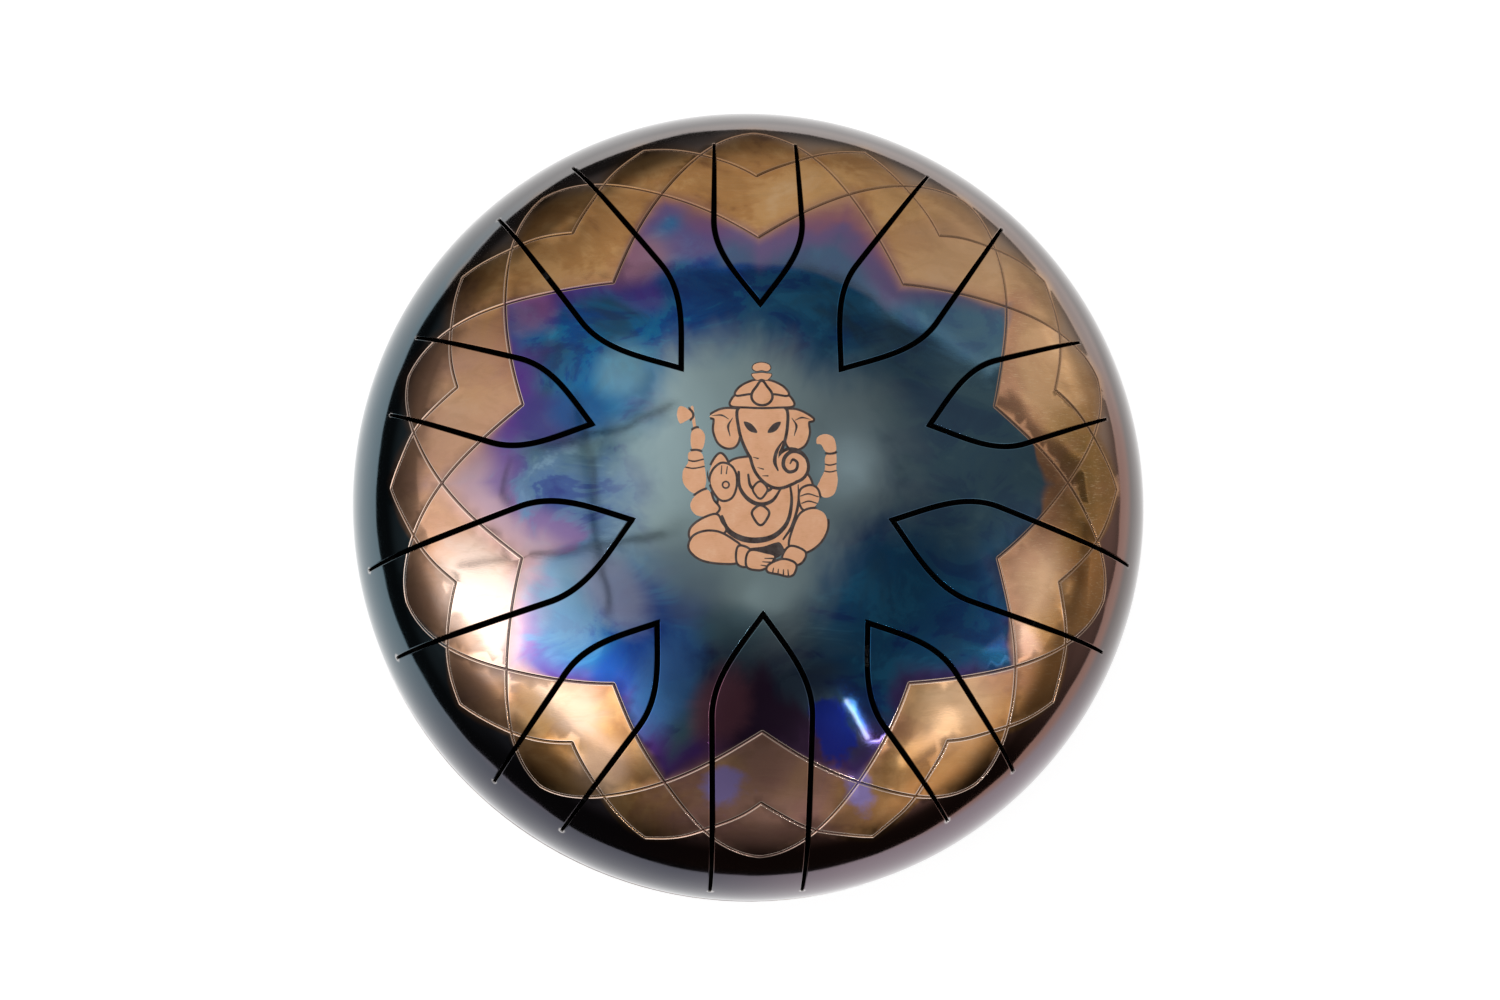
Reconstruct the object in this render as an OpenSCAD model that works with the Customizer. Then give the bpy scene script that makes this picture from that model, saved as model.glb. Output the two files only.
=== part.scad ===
// Steel tongue drum: two spun steel shells welded at the equator, ten tongues
// slit into the upper shell, a sound port in the lower shell and four screwed-on
// rubber feet. Millimetres, +Z up, origin on the floor under the drum's axis,
// the player's side towards -Y.

/* [Shells] */
// Outside diameter of both shells
drum_d = 300; // [300:1:300]
// Sheet thickness of the shells and tongues
sheet_t = 2; // [1.5:0.1:2.5]
// Outside radius of the crown (the shallow middle of each shell)
crown_r = 310; // [310:1:310]
// Outside radius of the knuckle (the tight curve at the side)
knuckle_r = 50; // [50:1:50]
// Straight skirt below the knuckle of each shell
skirt_h = 8; // [5:0.5:15]
// Gap between the two skirts that the weld fills
weld_gap = 1.2; // [0.8:0.1:2]
// Height of the weld's ground cap above the skirts
weld_cap = 0.35; // [0.2:0.05:0.6]
// Height of the lower shell above the floor
clearance_h = 6; // [4:0.5:12]

/* [Tongues] */
// Width of the slit around each tongue
slit_w = 1.8; // [1.2:0.1:2.2]
// Distance from the axis to the tip of the five long tongues
tip_r_long = 49; // [46:0.5:54]
// Distance from the axis to the tip of the five short tongues
tip_r_short = 64; // [60:0.5:68]
// Half width of a long tongue, to the middle of the slit
half_w_long = 18; // [16:0.25:18.5]
// Half width of a short tongue, to the middle of the slit
half_w_short = 16.2; // [14:0.2:17]
// How much narrower each side is at the root
root_taper = 1; // [0:0.25:2]
// Play at the root line, where each tongue flexes
root_play = 0.1; // [0.06:0.02:0.3]

/* [Sound port] */
// Diameter of the sound port in the lower shell
port_d = 70; // [40:1:90]

/* [Feet] */
// Distance from the axis to each foot
foot_r = 75; // [65:1:90]
// Diameter of a foot at the floor
foot_d_low = 24; // [20:1:28]
// Diameter of a foot at the shell
foot_d_high = 30; // [24:1:34]
// Diameter of the well for the screw's head
well_d = 11; // [10:0.5:13]
// Rubber left between the washer and the shell
foot_web = 6; // [4:0.5:8]
// Shank diameter of the foot screws
screw_d = 4; // [3:0.5:5]
// Length of the foot screws under the head
screw_l = 14.8; // [14:0.2:18]
// Width across the flats of the nuts
nut_af = 7; // [7:0.5:8]

/* [Hidden] */
$fn = 160;

// Crown and knuckle centres sit on a 100:240:260 triangle, so the arcs are tangent.
drum_r = drum_d / 2;
knuckle_x = drum_r - knuckle_r;
crown_drop = sqrt(pow(crown_r - knuckle_r, 2) - pow(knuckle_x, 2));
dome_h = crown_r - crown_drop;
z_low = clearance_h;
z_seam = z_low + dome_h + skirt_h + weld_gap / 2;
z_spring = z_seam + weld_gap / 2 + skirt_h;
z_top = z_spring + dome_h;

// Each tongue: bearing from +X in degrees, distance from the axis to its root
// line, and whether it is one of the long ones. A lower note has a longer slit.
TONGUES = [
  ["tongue_front", -90, 146, true],
  ["tongue_left_front", -162, 143.5, true],
  ["tongue_right_front", -18, 140, true],
  ["tongue_rear_left", 126, 137.5, true],
  ["tongue_rear_right", 54, 133.5, true],
  ["tongue_front_left", -126, 141.5, false],
  ["tongue_front_right", -54, 138, false],
  ["tongue_left_rear", 162, 135.5, false],
  ["tongue_right_rear", 18, 131, false],
  ["tongue_rear", 90, 128, false]
];

// Each foot: bearing from +X in degrees.
FEET = [
  ["foot_front_left", -135],
  ["foot_front_right", -45],
  ["foot_rear_left", 135],
  ["foot_rear_right", 45]
];

steel_gold = "#9a7344";
steel_blue = "#1f5a78";
steel_dark = "#3a2c33";
rubber_black = "#1c1c1e";
zinc = "#b9bcc0";

// ---------------------------------------------------------------- shells

// Half section of a shell, skirt bottom at y = 0.
module shell_section() {
  translate([drum_r - sheet_t, 0]) square([sheet_t, skirt_h]);
  translate([0, skirt_h]) {
    intersection() {
      translate([0, -crown_drop]) difference() {
        circle(r = crown_r);
        circle(r = crown_r - sheet_t);
      }
      polygon([[0, -crown_drop], [2 * knuckle_x, crown_drop], [0, crown_drop]]);
    }
    intersection() {
      translate([knuckle_x, 0]) difference() {
        circle(r = knuckle_r);
        circle(r = knuckle_r - sheet_t);
      }
      polygon([[knuckle_x, 0], [2 * knuckle_x, 0], [2 * knuckle_x, crown_drop]]);
    }
  }
}

module dome() {
  translate([0, 0, z_seam + weld_gap / 2]) rotate_extrude() shell_section();
}

// ---------------------------------------------------------------- tongues

function bez(p, t) = pow(1 - t, 3) * p[0] + 3 * t * pow(1 - t, 2) * p[1]
  + 3 * t * t * (1 - t) * p[2] + pow(t, 3) * p[3];

// One side of a slit's middle line in plan, from the tip: a pointed lancet that
// swells into a nearly parallel strip.
function side_line(hw, len) = concat(
  [for (i = [0:9]) bez([[0, 0], [0.66 * hw, 0.48 * hw], [1.22 * hw, hw], [2 * hw, hw]], i / 9)],
  [[len + 12, hw - root_taper * (len + 12 - 2 * hw) / (len - 2 * hw)]]
);

function unit(v) = v / norm(v);
function normal_at(p, i) = let (
    a = p[max(i - 1, 0)], b = p[min(i + 1, len(p) - 1)], d = unit(b - a)
  ) [-d[1], d[0]];

// A slit's edge: the middle line moved sideways by g, mitred on the axis.
function edge_line(p, g) = let (d = unit(p[1] - p[0])) concat(
  [[p[0][0] - g / d[1], 0]],
  [for (i = [1:len(p) - 1]) p[i] + g * normal_at(p, i)]
);

function outline(p, g) = let (e = edge_line(p, g)) concat(
  e, [for (i = [len(e) - 1:-1:1]) [e[i][0], -e[i][1]]]
);

function half_w(t) = t[3] ? half_w_long : half_w_short;
function tip_r(t) = t[3] ? tip_r_long : tip_r_short;
function root_slope(t) = asin((t[2] - knuckle_x) / (knuckle_r - sheet_t / 2));

// Column through the sheet along a tongue's outline, cut off at its root line by
// a plane square to the sheet.
module tongue_column(t, g, play) {
  slope = root_slope(t);
  z_root = z_spring + (knuckle_r - sheet_t / 2) * cos(slope);
  rotate([0, 0, t[1]]) intersection() {
    translate([tip_r(t), 0, z_seam + 5]) linear_extrude(height = 90)
      polygon(outline(side_line(half_w(t), t[2] - tip_r(t)), g));
    translate([t[2], 0, z_root]) rotate([0, 180 + slope, 0])
      translate([play, -40, -80]) cube([160, 80, 160]);
  }
}

module tongue(t) {
  color(t[3] ? steel_blue : steel_gold) intersection() {
    dome();
    tongue_column(t, -slit_w / 2, root_play / 2);
  }
}

module top_shell() {
  color(steel_gold) difference() {
    dome();
    for (t = TONGUES) tongue_column(t, slit_w / 2, -root_play / 2);
  }
}

// ---------------------------------------------------------------- lower shell

crown_z_low = z_low + crown_r;
foot_slope = asin(foot_r / crown_r);

// Places children on a foot screw's axis: origin on the shell's outside, +Z into
// the drum, square to the sheet.
module at_foot(bearing) {
  translate([0, 0, crown_z_low]) rotate([0, 0, bearing])
    rotate([0, -foot_slope, 0]) translate([0, 0, -crown_r]) children();
}

module bottom_shell() {
  color(steel_dark) difference() {
    translate([0, 0, z_seam - weld_gap / 2]) mirror([0, 0, 1])
      rotate_extrude() shell_section();
    translate([0, 0, -1]) cylinder(d = port_d, h = z_low + 20);
    for (f = FEET) at_foot(f[1]) translate([0, 0, -3])
      cylinder(d = screw_d + 0.5, h = sheet_t + 6);
  }
}

// Ring weld: it fills the gap between the skirts and stands a little proud of
// them, ground to a low flat cap outside and left as a low bead inside.
module seam_weld() {
  r_in = drum_r - sheet_t;
  color(steel_dark) translate([0, 0, z_seam]) rotate_extrude() polygon([
    [r_in, -weld_gap / 2], [r_in, -1.6], [r_in - weld_cap, -0.8], [r_in - weld_cap, 0.8],
    [r_in, 1.6], [r_in, weld_gap / 2], [drum_r, weld_gap / 2], [drum_r, 2.5],
    [drum_r + weld_cap, 1.7], [drum_r + weld_cap, -1.7], [drum_r, -2.5], [drum_r, -weld_gap / 2]
  ]);
}

// ---------------------------------------------------------------- feet

foot_shift = 2;
head_washer_t = 0.8;
inner_washer_t = 0.8;
head_h = 2.4;
nut_h = 3.2;

// The room a foot's rubber may fill, turned about its screw: under the crown,
// outside the screw's hole and the well for its head.
module foot_room(bearing) {
  at_foot(bearing) rotate_extrude() difference() {
    union() {
      translate([well_d / 2, -40]) square([40, 60]);
      translate([screw_d / 2 + 0.25, -foot_web]) square([10, 20]);
    }
    translate([0, crown_r]) circle(r = crown_r);
  }
}

// A tapered foot that stands upright, set a little outside its screw so that the
// slanting well stays near the middle of the sole.
module foot(bearing) {
  color(rubber_black) intersection() {
    rotate([0, 0, bearing]) translate([foot_r + foot_shift, 0, 0]) rotate_extrude()
      polygon([[0, 0], [foot_d_low / 2 - 1, 0], [foot_d_low / 2, 1],
        [foot_d_high / 2, 23], [0, 23]]);
    foot_room(bearing);
  }
}

module foot_screws() {
  color(zinc) for (f = FEET) at_foot(f[1]) translate([0, 0, -foot_web - head_washer_t])
    difference() {
      union() {
        cylinder(d = screw_d, h = screw_l - 0.6);
        translate([0, 0, screw_l - 0.6]) cylinder(d1 = screw_d, d2 = screw_d - 1.2, h = 0.6);
        translate([0, 0, -head_h + 0.8]) cylinder(d = 2 * screw_d, h = head_h - 0.8);
        translate([0, 0, -head_h]) cylinder(d1 = 2 * screw_d - 2, d2 = 2 * screw_d, h = 0.8);
      }
      for (a = [0, 90]) rotate([0, 0, a]) translate([-2.2, -0.45, -head_h - 1])
        cube([4.4, 0.9, 2.4]);
    }
}

module washer(d, bore, t) {
  difference() {
    cylinder(d = d, h = t);
    translate([0, 0, -1]) cylinder(d = bore, h = t + 2);
  }
}

module foot_head_washers() {
  color(zinc) for (f = FEET) at_foot(f[1]) translate([0, 0, -foot_web - head_washer_t])
    washer(9, screw_d + 0.3, head_washer_t);
}

module foot_inner_washers() {
  color(zinc) for (f = FEET) at_foot(f[1]) translate([0, 0, sheet_t + 0.04])
    washer(9, screw_d + 0.3, inner_washer_t);
}

module foot_nuts() {
  color(zinc) for (f = FEET) at_foot(f[1])
    translate([0, 0, sheet_t + 0.04 + inner_washer_t]) difference() {
      cylinder(d = nut_af / cos(30), h = nut_h, $fn = 6);
      translate([0, 0, -1]) cylinder(d = screw_d + 0.06, h = nut_h + 2);
    }
}

// ---------------------------------------------------------------- nodes

top_shell();
bottom_shell();
seam_weld();
for (t = TONGUES) tongue(t);
for (f = FEET) foot(f[1]);
foot_screws();
foot_head_washers();
foot_inner_washers();
foot_nuts();
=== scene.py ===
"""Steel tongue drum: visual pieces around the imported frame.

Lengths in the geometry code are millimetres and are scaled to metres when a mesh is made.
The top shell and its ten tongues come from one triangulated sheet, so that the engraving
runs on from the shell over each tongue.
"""

import math

import bpy
import numpy as np
from mathutils import Matrix, Vector, kdtree
from mathutils.geometry import delaunay_2d_cdt


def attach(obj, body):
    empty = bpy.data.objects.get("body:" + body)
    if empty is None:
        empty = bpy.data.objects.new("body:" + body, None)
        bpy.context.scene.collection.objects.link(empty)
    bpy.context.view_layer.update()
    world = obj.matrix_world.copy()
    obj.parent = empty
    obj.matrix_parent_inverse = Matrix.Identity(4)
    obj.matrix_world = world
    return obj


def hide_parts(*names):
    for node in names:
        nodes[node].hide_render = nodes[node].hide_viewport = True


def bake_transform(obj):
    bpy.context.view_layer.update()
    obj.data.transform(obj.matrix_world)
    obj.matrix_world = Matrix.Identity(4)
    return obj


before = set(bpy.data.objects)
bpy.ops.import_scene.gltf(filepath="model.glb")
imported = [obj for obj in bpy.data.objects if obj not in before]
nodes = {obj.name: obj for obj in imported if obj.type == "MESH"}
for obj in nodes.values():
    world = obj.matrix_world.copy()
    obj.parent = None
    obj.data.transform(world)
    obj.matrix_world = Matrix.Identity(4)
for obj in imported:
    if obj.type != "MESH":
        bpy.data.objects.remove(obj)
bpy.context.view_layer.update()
scene = bpy.context.scene
MM = 0.001

# ---------------------------------------------------------------------------------------------
# Dome profile: crown sphere, knuckle, short straight skirt. rho is the arc length from the apex.
# ---------------------------------------------------------------------------------------------
CROWN_R, KN_R, KN_X, DROP = 310.0, 50.0, 100.0, 240.0
SHEET = 2.0
Z_TOP_SPRING, Z_LOW_SPRING, Z_SEAM = 93.2, 76.0, 84.6
PSI0 = math.asin(KN_X / (CROWN_R - KN_R))
RHO1 = CROWN_R * PSI0
RHO2 = RHO1 + KN_R * (math.pi / 2 - PSI0)
RHO3 = RHO2 + 8.0
R_TANGENT = CROWN_R * math.sin(PSI0)


def profile(rho):
    rho = np.asarray(rho, float)
    psi = np.where(rho < RHO1, rho / CROWN_R, np.minimum(PSI0 + (rho - RHO1) / KN_R, math.pi / 2))
    s, c = np.sin(psi), np.cos(psi)
    r = np.where(rho < RHO1, CROWN_R * s, KN_X + KN_R * s)
    z = np.where(rho < RHO1, CROWN_R * c - DROP, KN_R * c)
    z = np.where(rho > RHO2, -(rho - RHO2), z)
    return r, z, s, c


def rho_of(r):
    r = np.asarray(r, float)
    crown = CROWN_R * np.arcsin(np.clip(r / CROWN_R, 0, 1))
    knuckle = RHO1 + KN_R * (np.arcsin(np.clip((r - KN_X) / KN_R, 0, 1)) - PSI0)
    return np.where(r < R_TANGENT, crown, knuckle)


def unroll(plan):
    """Plan points to the flat (u, v) domain, where the distance from the origin is the arc length."""
    plan = np.asarray(plan, float).reshape(-1, 2)
    r = np.hypot(plan[:, 0], plan[:, 1])
    k = np.where(r > 1e-9, rho_of(r) / np.maximum(r, 1e-9), 1.0)
    return plan * k[:, None]


def on_dome(uv, off=0.0, spring=Z_TOP_SPRING, up=1.0):
    """Points and outward normals of the dome sheet at the (u, v) places, moved along the normal by off."""
    uv = np.asarray(uv, float).reshape(-1, 2)
    rho = np.hypot(uv[:, 0], uv[:, 1])
    d = np.where(rho[:, None] > 1e-9, uv / np.maximum(rho, 1e-9)[:, None], np.array([1.0, 0.0]))
    r, z, s, c = profile(rho)
    pos = np.column_stack([(r + off * s) * d[:, 0], (r + off * s) * d[:, 1], spring + up * (z + off * c)])
    nrm = np.column_stack([s * d[:, 0], s * d[:, 1], up * c])
    return pos, nrm


def unit(a):
    return a / np.maximum(np.linalg.norm(a, axis=-1, keepdims=True), 1e-12)


def triangulate(points, edges):
    out = delaunay_2d_cdt([Vector((float(p[0]), float(p[1]))) for p in points],
                          [(int(a), int(b)) for a, b in edges], [], 0, 1e-4)
    verts = np.array([(v[0], v[1]) for v in out[0]], float)
    tris = np.array([f for f in out[2] if len(f) == 3], int)
    a, b, c = verts[tris[:, 0]], verts[tris[:, 1]], verts[tris[:, 2]]
    area = (b[:, 0] - a[:, 0]) * (c[:, 1] - a[:, 1]) - (b[:, 1] - a[:, 1]) * (c[:, 0] - a[:, 0])
    flip = area < 0
    tris[flip] = tris[flip][:, ::-1]
    return verts, tris[np.abs(area) > 1e-9]


def inside(pts, poly):
    """Even-odd test of many points against one polygon."""
    pts, poly = np.asarray(pts, float), np.asarray(poly, float)
    res = np.zeros(len(pts), bool)
    lo, hi = poly.min(0), poly.max(0)
    near = np.nonzero(((pts >= lo) & (pts <= hi)).all(1))[0]
    if not len(near):
        return res
    x, y = pts[near, 0], pts[near, 1]
    odd = np.zeros(len(near), bool)
    a, b = poly, np.roll(poly, -1, axis=0)
    for (x0, y0), (x1, y1) in zip(a, b):
        if y0 == y1:
            continue
        hit = ((y0 > y) != (y1 > y)) & (x < (x1 - x0) * (y - y0) / (y1 - y0) + x0)
        odd ^= hit
    res[near] = odd
    return res


def resample(pts, step):
    """Points along a polyline at about the given step, both ends kept."""
    pts = np.asarray(pts, float)
    seg = np.linalg.norm(np.diff(pts, axis=0), axis=1)
    s = np.concatenate([[0], np.cumsum(seg)])
    n = max(1, int(math.ceil(s[-1] / step)))
    t = np.linspace(0, s[-1], n + 1)
    return np.column_stack([np.interp(t, s, pts[:, k]) for k in range(pts.shape[1])])


def bezier(ctrl, n):
    t = np.linspace(0, 1, n)[:, None]
    c = np.asarray(ctrl, float)
    if len(c) == 3:
        return (1 - t) ** 2 * c[0] + 2 * t * (1 - t) * c[1] + t * t * c[2]
    return (1 - t) ** 3 * c[0] + 3 * t * (1 - t) ** 2 * c[1] + 3 * t * t * (1 - t) * c[2] + t ** 3 * c[3]


class Near:
    """Nearest place on a set of 3-D polylines, with a side vector stored along them."""

    def __init__(self):
        self.p, self.side, self.line = [], [], []

    def add(self, pts, side=None):
        n = len(self.line) and self.line[-1] + 1
        pts = np.asarray(pts, float)
        self.p += list(pts)
        self.side += list(side if side is not None else np.zeros_like(pts))
        self.line += [n] * len(pts)

    def build(self):
        self.p, self.side, self.line = np.array(self.p), np.array(self.side), np.array(self.line)
        self.tree = kdtree.KDTree(len(self.p))
        for i, q in enumerate(self.p):
            self.tree.insert(q, i)
        self.tree.balance()

    def find(self, pts, reach):
        """Distance, foot point and side vector for each point; distance is inf beyond the reach."""
        n = len(pts)
        dist, foot, side = np.full(n, np.inf), np.array(pts, float), np.zeros((n, 3))
        for k, q in enumerate(pts):
            _, i, d0 = self.tree.find(q)
            if d0 > reach + 1.0:
                continue
            best, bf, bs = np.inf, None, None
            for a, b in ((i - 1, i), (i, i + 1)):
                if a < 0 or b >= len(self.p) or self.line[a] != self.line[b]:
                    continue
                e = self.p[b] - self.p[a]
                t = min(1.0, max(0.0, float((q - self.p[a]) @ e) / max(float(e @ e), 1e-12)))
                f = self.p[a] + t * e
                d = float(np.linalg.norm(q - f))
                if d < best:
                    best, bf = d, f
                    bs = (1 - t) * self.side[a] + t * self.side[b]
            if best <= reach:
                dist[k], foot[k], side[k] = best, bf, bs
        return dist, foot, side


# ---------------------------------------------------------------------------------------------
# Tongues: bearing from +X, radius of the root on the sheet's middle surface, and size class
# ---------------------------------------------------------------------------------------------
TONGUES = [
    ("tongue_front", -90, 146.0, True),
    ("tongue_left_front", -162, 143.5, True),
    ("tongue_right_front", -18, 140.0, True),
    ("tongue_rear_left", 126, 137.5, True),
    ("tongue_rear_right", 54, 133.5, True),
    ("tongue_front_left", -126, 141.5, False),
    ("tongue_front_right", -54, 138.0, False),
    ("tongue_left_rear", 162, 135.5, False),
    ("tongue_right_rear", 18, 131.0, False),
    ("tongue_rear", 90, 128.0, False),
]
TIP_R = {True: 49.0, False: 64.0}
HALF_W = {True: 18.0, False: 16.2}
SLIT_HALF = 0.9
SLIT_HALF_END = 0.5
RIM = 0.34          # rounding of the cut edges
GROOVE_W = 0.85     # half width of an engraved line with its lips
CUT_W = 0.50        # half width of the cut itself
CUT_D = 0.22        # its depth
LIP_H = 0.07        # height of the lips beside it


def turn(p, deg):
    a = math.radians(deg)
    p = np.asarray(p, float)
    return np.column_stack([p[:, 0] * math.cos(a) - p[:, 1] * math.sin(a),
                            p[:, 0] * math.sin(a) + p[:, 1] * math.cos(a)])


def height(x, y):
    r = np.hypot(x, y)
    return profile(rho_of(r))[1]


class Tongue:
    def __init__(self, name, bearing, root_r, long):
        self.name, self.bearing, self.root_r = name, bearing, root_r
        self.tip_r, self.hw = TIP_R[long], HALF_W[long]
        self.slope = math.asin((root_r - KN_X) / (KN_R - SHEET / 2))
        self.x0 = KN_X + KN_R * math.sin(self.slope)
        self.z0 = KN_R * math.cos(self.slope)

    def past(self, x, y):
        """Distance from the root plane, positive on the tip's side."""
        return -(x - self.x0) * math.cos(self.slope) + (height(x, y) - self.z0) * math.sin(self.slope)

    def middle_line(self):
        hw, length = self.hw, self.root_r - self.tip_r
        curve = bezier([[0, 0], [0.66 * hw, 0.48 * hw], [1.22 * hw, hw], [2 * hw, hw]], 60)
        xs = np.linspace(2 * hw, length + 11.5, 900)[1:]
        line = np.column_stack([xs, hw - 1.0 * (xs - 2 * hw) / (length - 2 * hw)])
        pts = np.vstack([curve, line])
        pts[:, 0] += self.tip_r
        pts = pts[np.hypot(pts[:, 0], pts[:, 1]) < 149.4]
        f = self.past(pts[:, 0], pts[:, 1])
        keep = f > -0.9
        last = int(np.nonzero(keep)[0][-1])
        pts = pts[: last + 1]
        # even steps along the curved surface
        three = np.column_stack([pts, height(pts[:, 0], pts[:, 1])])
        return resample(three, 1.5)[:, :2]

    def build(self, add, link, rims, voids, tongues):
        mid = self.middle_line()
        tan = np.gradient(mid, axis=0)
        tan = unit(tan)
        tan[0] = unit(np.array([0.66, 0.48]))
        nrm = np.column_stack([-tan[:, 1], tan[:, 0]])
        f = self.past(mid[:, 0], mid[:, 1])
        half = np.interp(f, [-1, 4, 34], [SLIT_HALF_END, SLIT_HALF_END + 0.12, SLIT_HALF])
        sin0 = tan[0, 1]

        def edge(extra, sign):
            """Edge line on one side of the slit: sign +1 away from the tongue, -1 on the tongue."""
            g = (half + extra) * sign
            line = mid + nrm * g[:, None]
            mitre = np.array([[self.tip_r - g[0] / sin0, 0.0]])
            ok = (line[:, 1] > 0.05) & (line[:, 0] > mitre[0, 0] + 0.05)
            return np.vstack([mitre, line[ok]])

        def place(pts, mirror):
            pts = np.array(pts, float)
            if mirror:
                pts[:, 1] *= -1
            return unroll(turn(pts, self.bearing))

        outer, inner = edge(0.0, 1.0), edge(0.0, -1.0)
        # place of the root on the tongue's edge
        fi = self.past(inner[:, 0], inner[:, 1])
        k = int(np.nonzero(fi > 0)[0][-1])
        t = fi[k] / (fi[k] - fi[k + 1])
        root = inner[k] + t * (inner[k + 1] - inner[k])
        if np.linalg.norm(inner[k] - root) < 0.25:
            inner = np.delete(inner, k, axis=0)
            k -= 1
        if k + 1 < len(inner) and np.linalg.norm(inner[k + 1] - root) < 0.25:
            inner = np.delete(inner, k + 1, axis=0)
        inner = np.insert(inner, k + 1, root, axis=0)
        ri = k + 1
        end, tn, nn, ge = mid[-1], tan[-1], nrm[-1], half[-1]
        flat = profile(rho_of(np.hypot(*end)))[3]
        cap = np.array([end + ge * (math.cos(b) * nn + math.sin(b) * tn * float(flat))
                        for b in np.radians([45, 90, 135])])
        self.ends = [place(end[None], mirror)[0] for mirror in (False, True)]
        chains = {}
        for mirror in (False, True):
            o, c, i = place(outer, mirror), place(cap, mirror), place(inner, mirror)
            io = add(o if not mirror else o[1:])
            if mirror:
                io = [chains[False][0][0]] + io
            ic = add(c)
            ii = add(i if not mirror else i[1:])
            if mirror:
                ii = [chains[False][2][0]] + ii
            chains[mirror] = (io, ic, ii)
            link(io + ic + ii[::-1])
        # root line across the tongue
        ys = np.linspace(root[1], -root[1], 19)
        xs = []
        for y in ys:
            lo, hi = KN_X, 149.9
            for _ in range(50):
                m = (lo + hi) / 2
                if math.hypot(m, y) >= KN_X + KN_R or self.past(m, y) < 0:
                    hi = m
                else:
                    lo = m
            xs.append(lo)
        across = place(np.column_stack([xs, ys])[1:-1], False)
        ia = add(across)
        link([chains[False][2][ri]] + ia + [chains[True][2][ri]])
        voids.append(chains[False][0] + chains[False][1] + chains[False][2][::-1][:-1]
                     + chains[True][2] + chains[True][1][::-1] + chains[True][0][::-1][:-1])
        tongues.append(chains[False][2][: ri + 1] + ia + chains[True][2][: ri + 1][::-1][:-1])
        # helper loops for the rounded edges, and the edge data itself
        for extra in (0.11, RIM):
            arc = np.array([end + (ge + extra) * (math.cos(b) * nn + math.sin(b) * tn * float(flat))
                            for b in np.radians([30, 60, 90, 120, 150])])
            loop = np.vstack([edge(extra, 1.0), arc, edge(extra, -1.0)[::-1]])
            for mirror in (False, True):
                link(add(place(loop, mirror)))
        for sign, line in ((1.0, outer), (-1.0, inner)):
            tl = unit(np.gradient(line, axis=0))
            side = np.column_stack([-tl[:, 1], tl[:, 0]]) * -sign
            for mirror in (False, True):
                q = place(line, mirror)
                ahead = place(line + 0.01 * side, mirror)
                p3, n3 = on_dome(q)
                a3, _ = on_dome(ahead)
                rims.add(p3, unit(a3 - p3))
        for mirror in (False, True):
            loop = np.vstack([outer[-1:], cap, inner[-1:]])
            q = place(loop, mirror)
            e = place(np.repeat(end[None], len(loop), 0), mirror)
            p3, _ = on_dome(q)
            e3, _ = on_dome(e)
            rims.add(p3, unit(e3 - p3))


# ---------------------------------------------------------------------------------------------
# Engraved lotus lattice: two layers of arcs, ten petals each
# ---------------------------------------------------------------------------------------------
R_CUSP, R_MID, R_TIP1, R_TIP2 = 90.0, 115.0, 134.0, 133.5


def polar(r, deg):
    return np.array([r * math.cos(math.radians(deg)), r * math.sin(math.radians(deg))])


def by_hand(line, rng):
    """One line as guided by hand: it wanders a little between its ends."""
    tan = unit(np.gradient(line, axis=0))
    nrm = np.column_stack([-tan[:, 1], tan[:, 0]])
    s = np.linspace(0, 1, len(line))
    off = rng.normal(0, 0.45) + 0.4 * np.sin(2 * math.pi * (s * rng.uniform(0.6, 1.5) + rng.uniform()))
    return line + nrm * (off * np.sin(math.pi * s))[:, None]


def lotus_lines():
    lines, rng = [], np.random.default_rng(11)
    for k in range(10):
        base = 90 + 36 * k
        for side in (1, -1):
            a, b = polar(R_CUSP, base), polar(R_TIP1, base + 36 * side)
            d = b - a
            n = np.array([d[1], -d[0]]) * side
            ln = np.linalg.norm(d)
            lines.append(by_hand(bezier([a, a + 0.272 * d + n * 8 / ln, a + 0.766 * d + n * 18 / ln, b], 80), rng))
            a, b = polar(R_MID, base), polar(R_TIP2, base + 18 * side)
            d = b - a
            n = np.array([d[1], -d[0]]) * side
            ln = np.linalg.norm(d)
            lines.append(by_hand(bezier([a, (a + b) / 2 + n * 6.8 / ln, b], 50), rng))
    return lines


# ---------------------------------------------------------------------------------------------
# Sheet builder
# ---------------------------------------------------------------------------------------------
class Sheet:
    def __init__(self):
        self.pts, self.edges = [], []

    def add(self, pts):
        n = len(self.pts)
        self.pts += [tuple(p) for p in pts]
        return list(range(n, n + len(pts)))

    def link(self, ids, closed=False):
        self.edges += list(zip(ids[:-1], ids[1:]))
        if closed:
            self.edges.append((ids[-1], ids[0]))

    def rings(self, rows, clear):
        """Background points in rings, kept away from the lines already drawn."""
        tree = kdtree.KDTree(len(self.pts))
        for i, p in enumerate(self.pts):
            tree.insert((p[0], p[1], 0.0), i)
        tree.balance()
        for j, (rho, step) in enumerate(rows):
            n = max(6, int(round(2 * math.pi * rho / step)))
            a = (np.arange(n) + 0.5 * (j % 2)) * 2 * math.pi / n
            for p in np.column_stack([rho * np.cos(a), rho * np.sin(a)]):
                if tree.find((p[0], p[1], 0.0))[2] > clear:
                    self.pts.append(tuple(p))


def boundary_edges(tris):
    e = np.vstack([tris[:, [0, 1]], tris[:, [1, 2]], tris[:, [2, 0]]])
    key = np.sort(e, axis=1)
    _, index, count = np.unique(key, axis=0, return_index=True, return_counts=True)
    return e[index[count == 1]]


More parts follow.
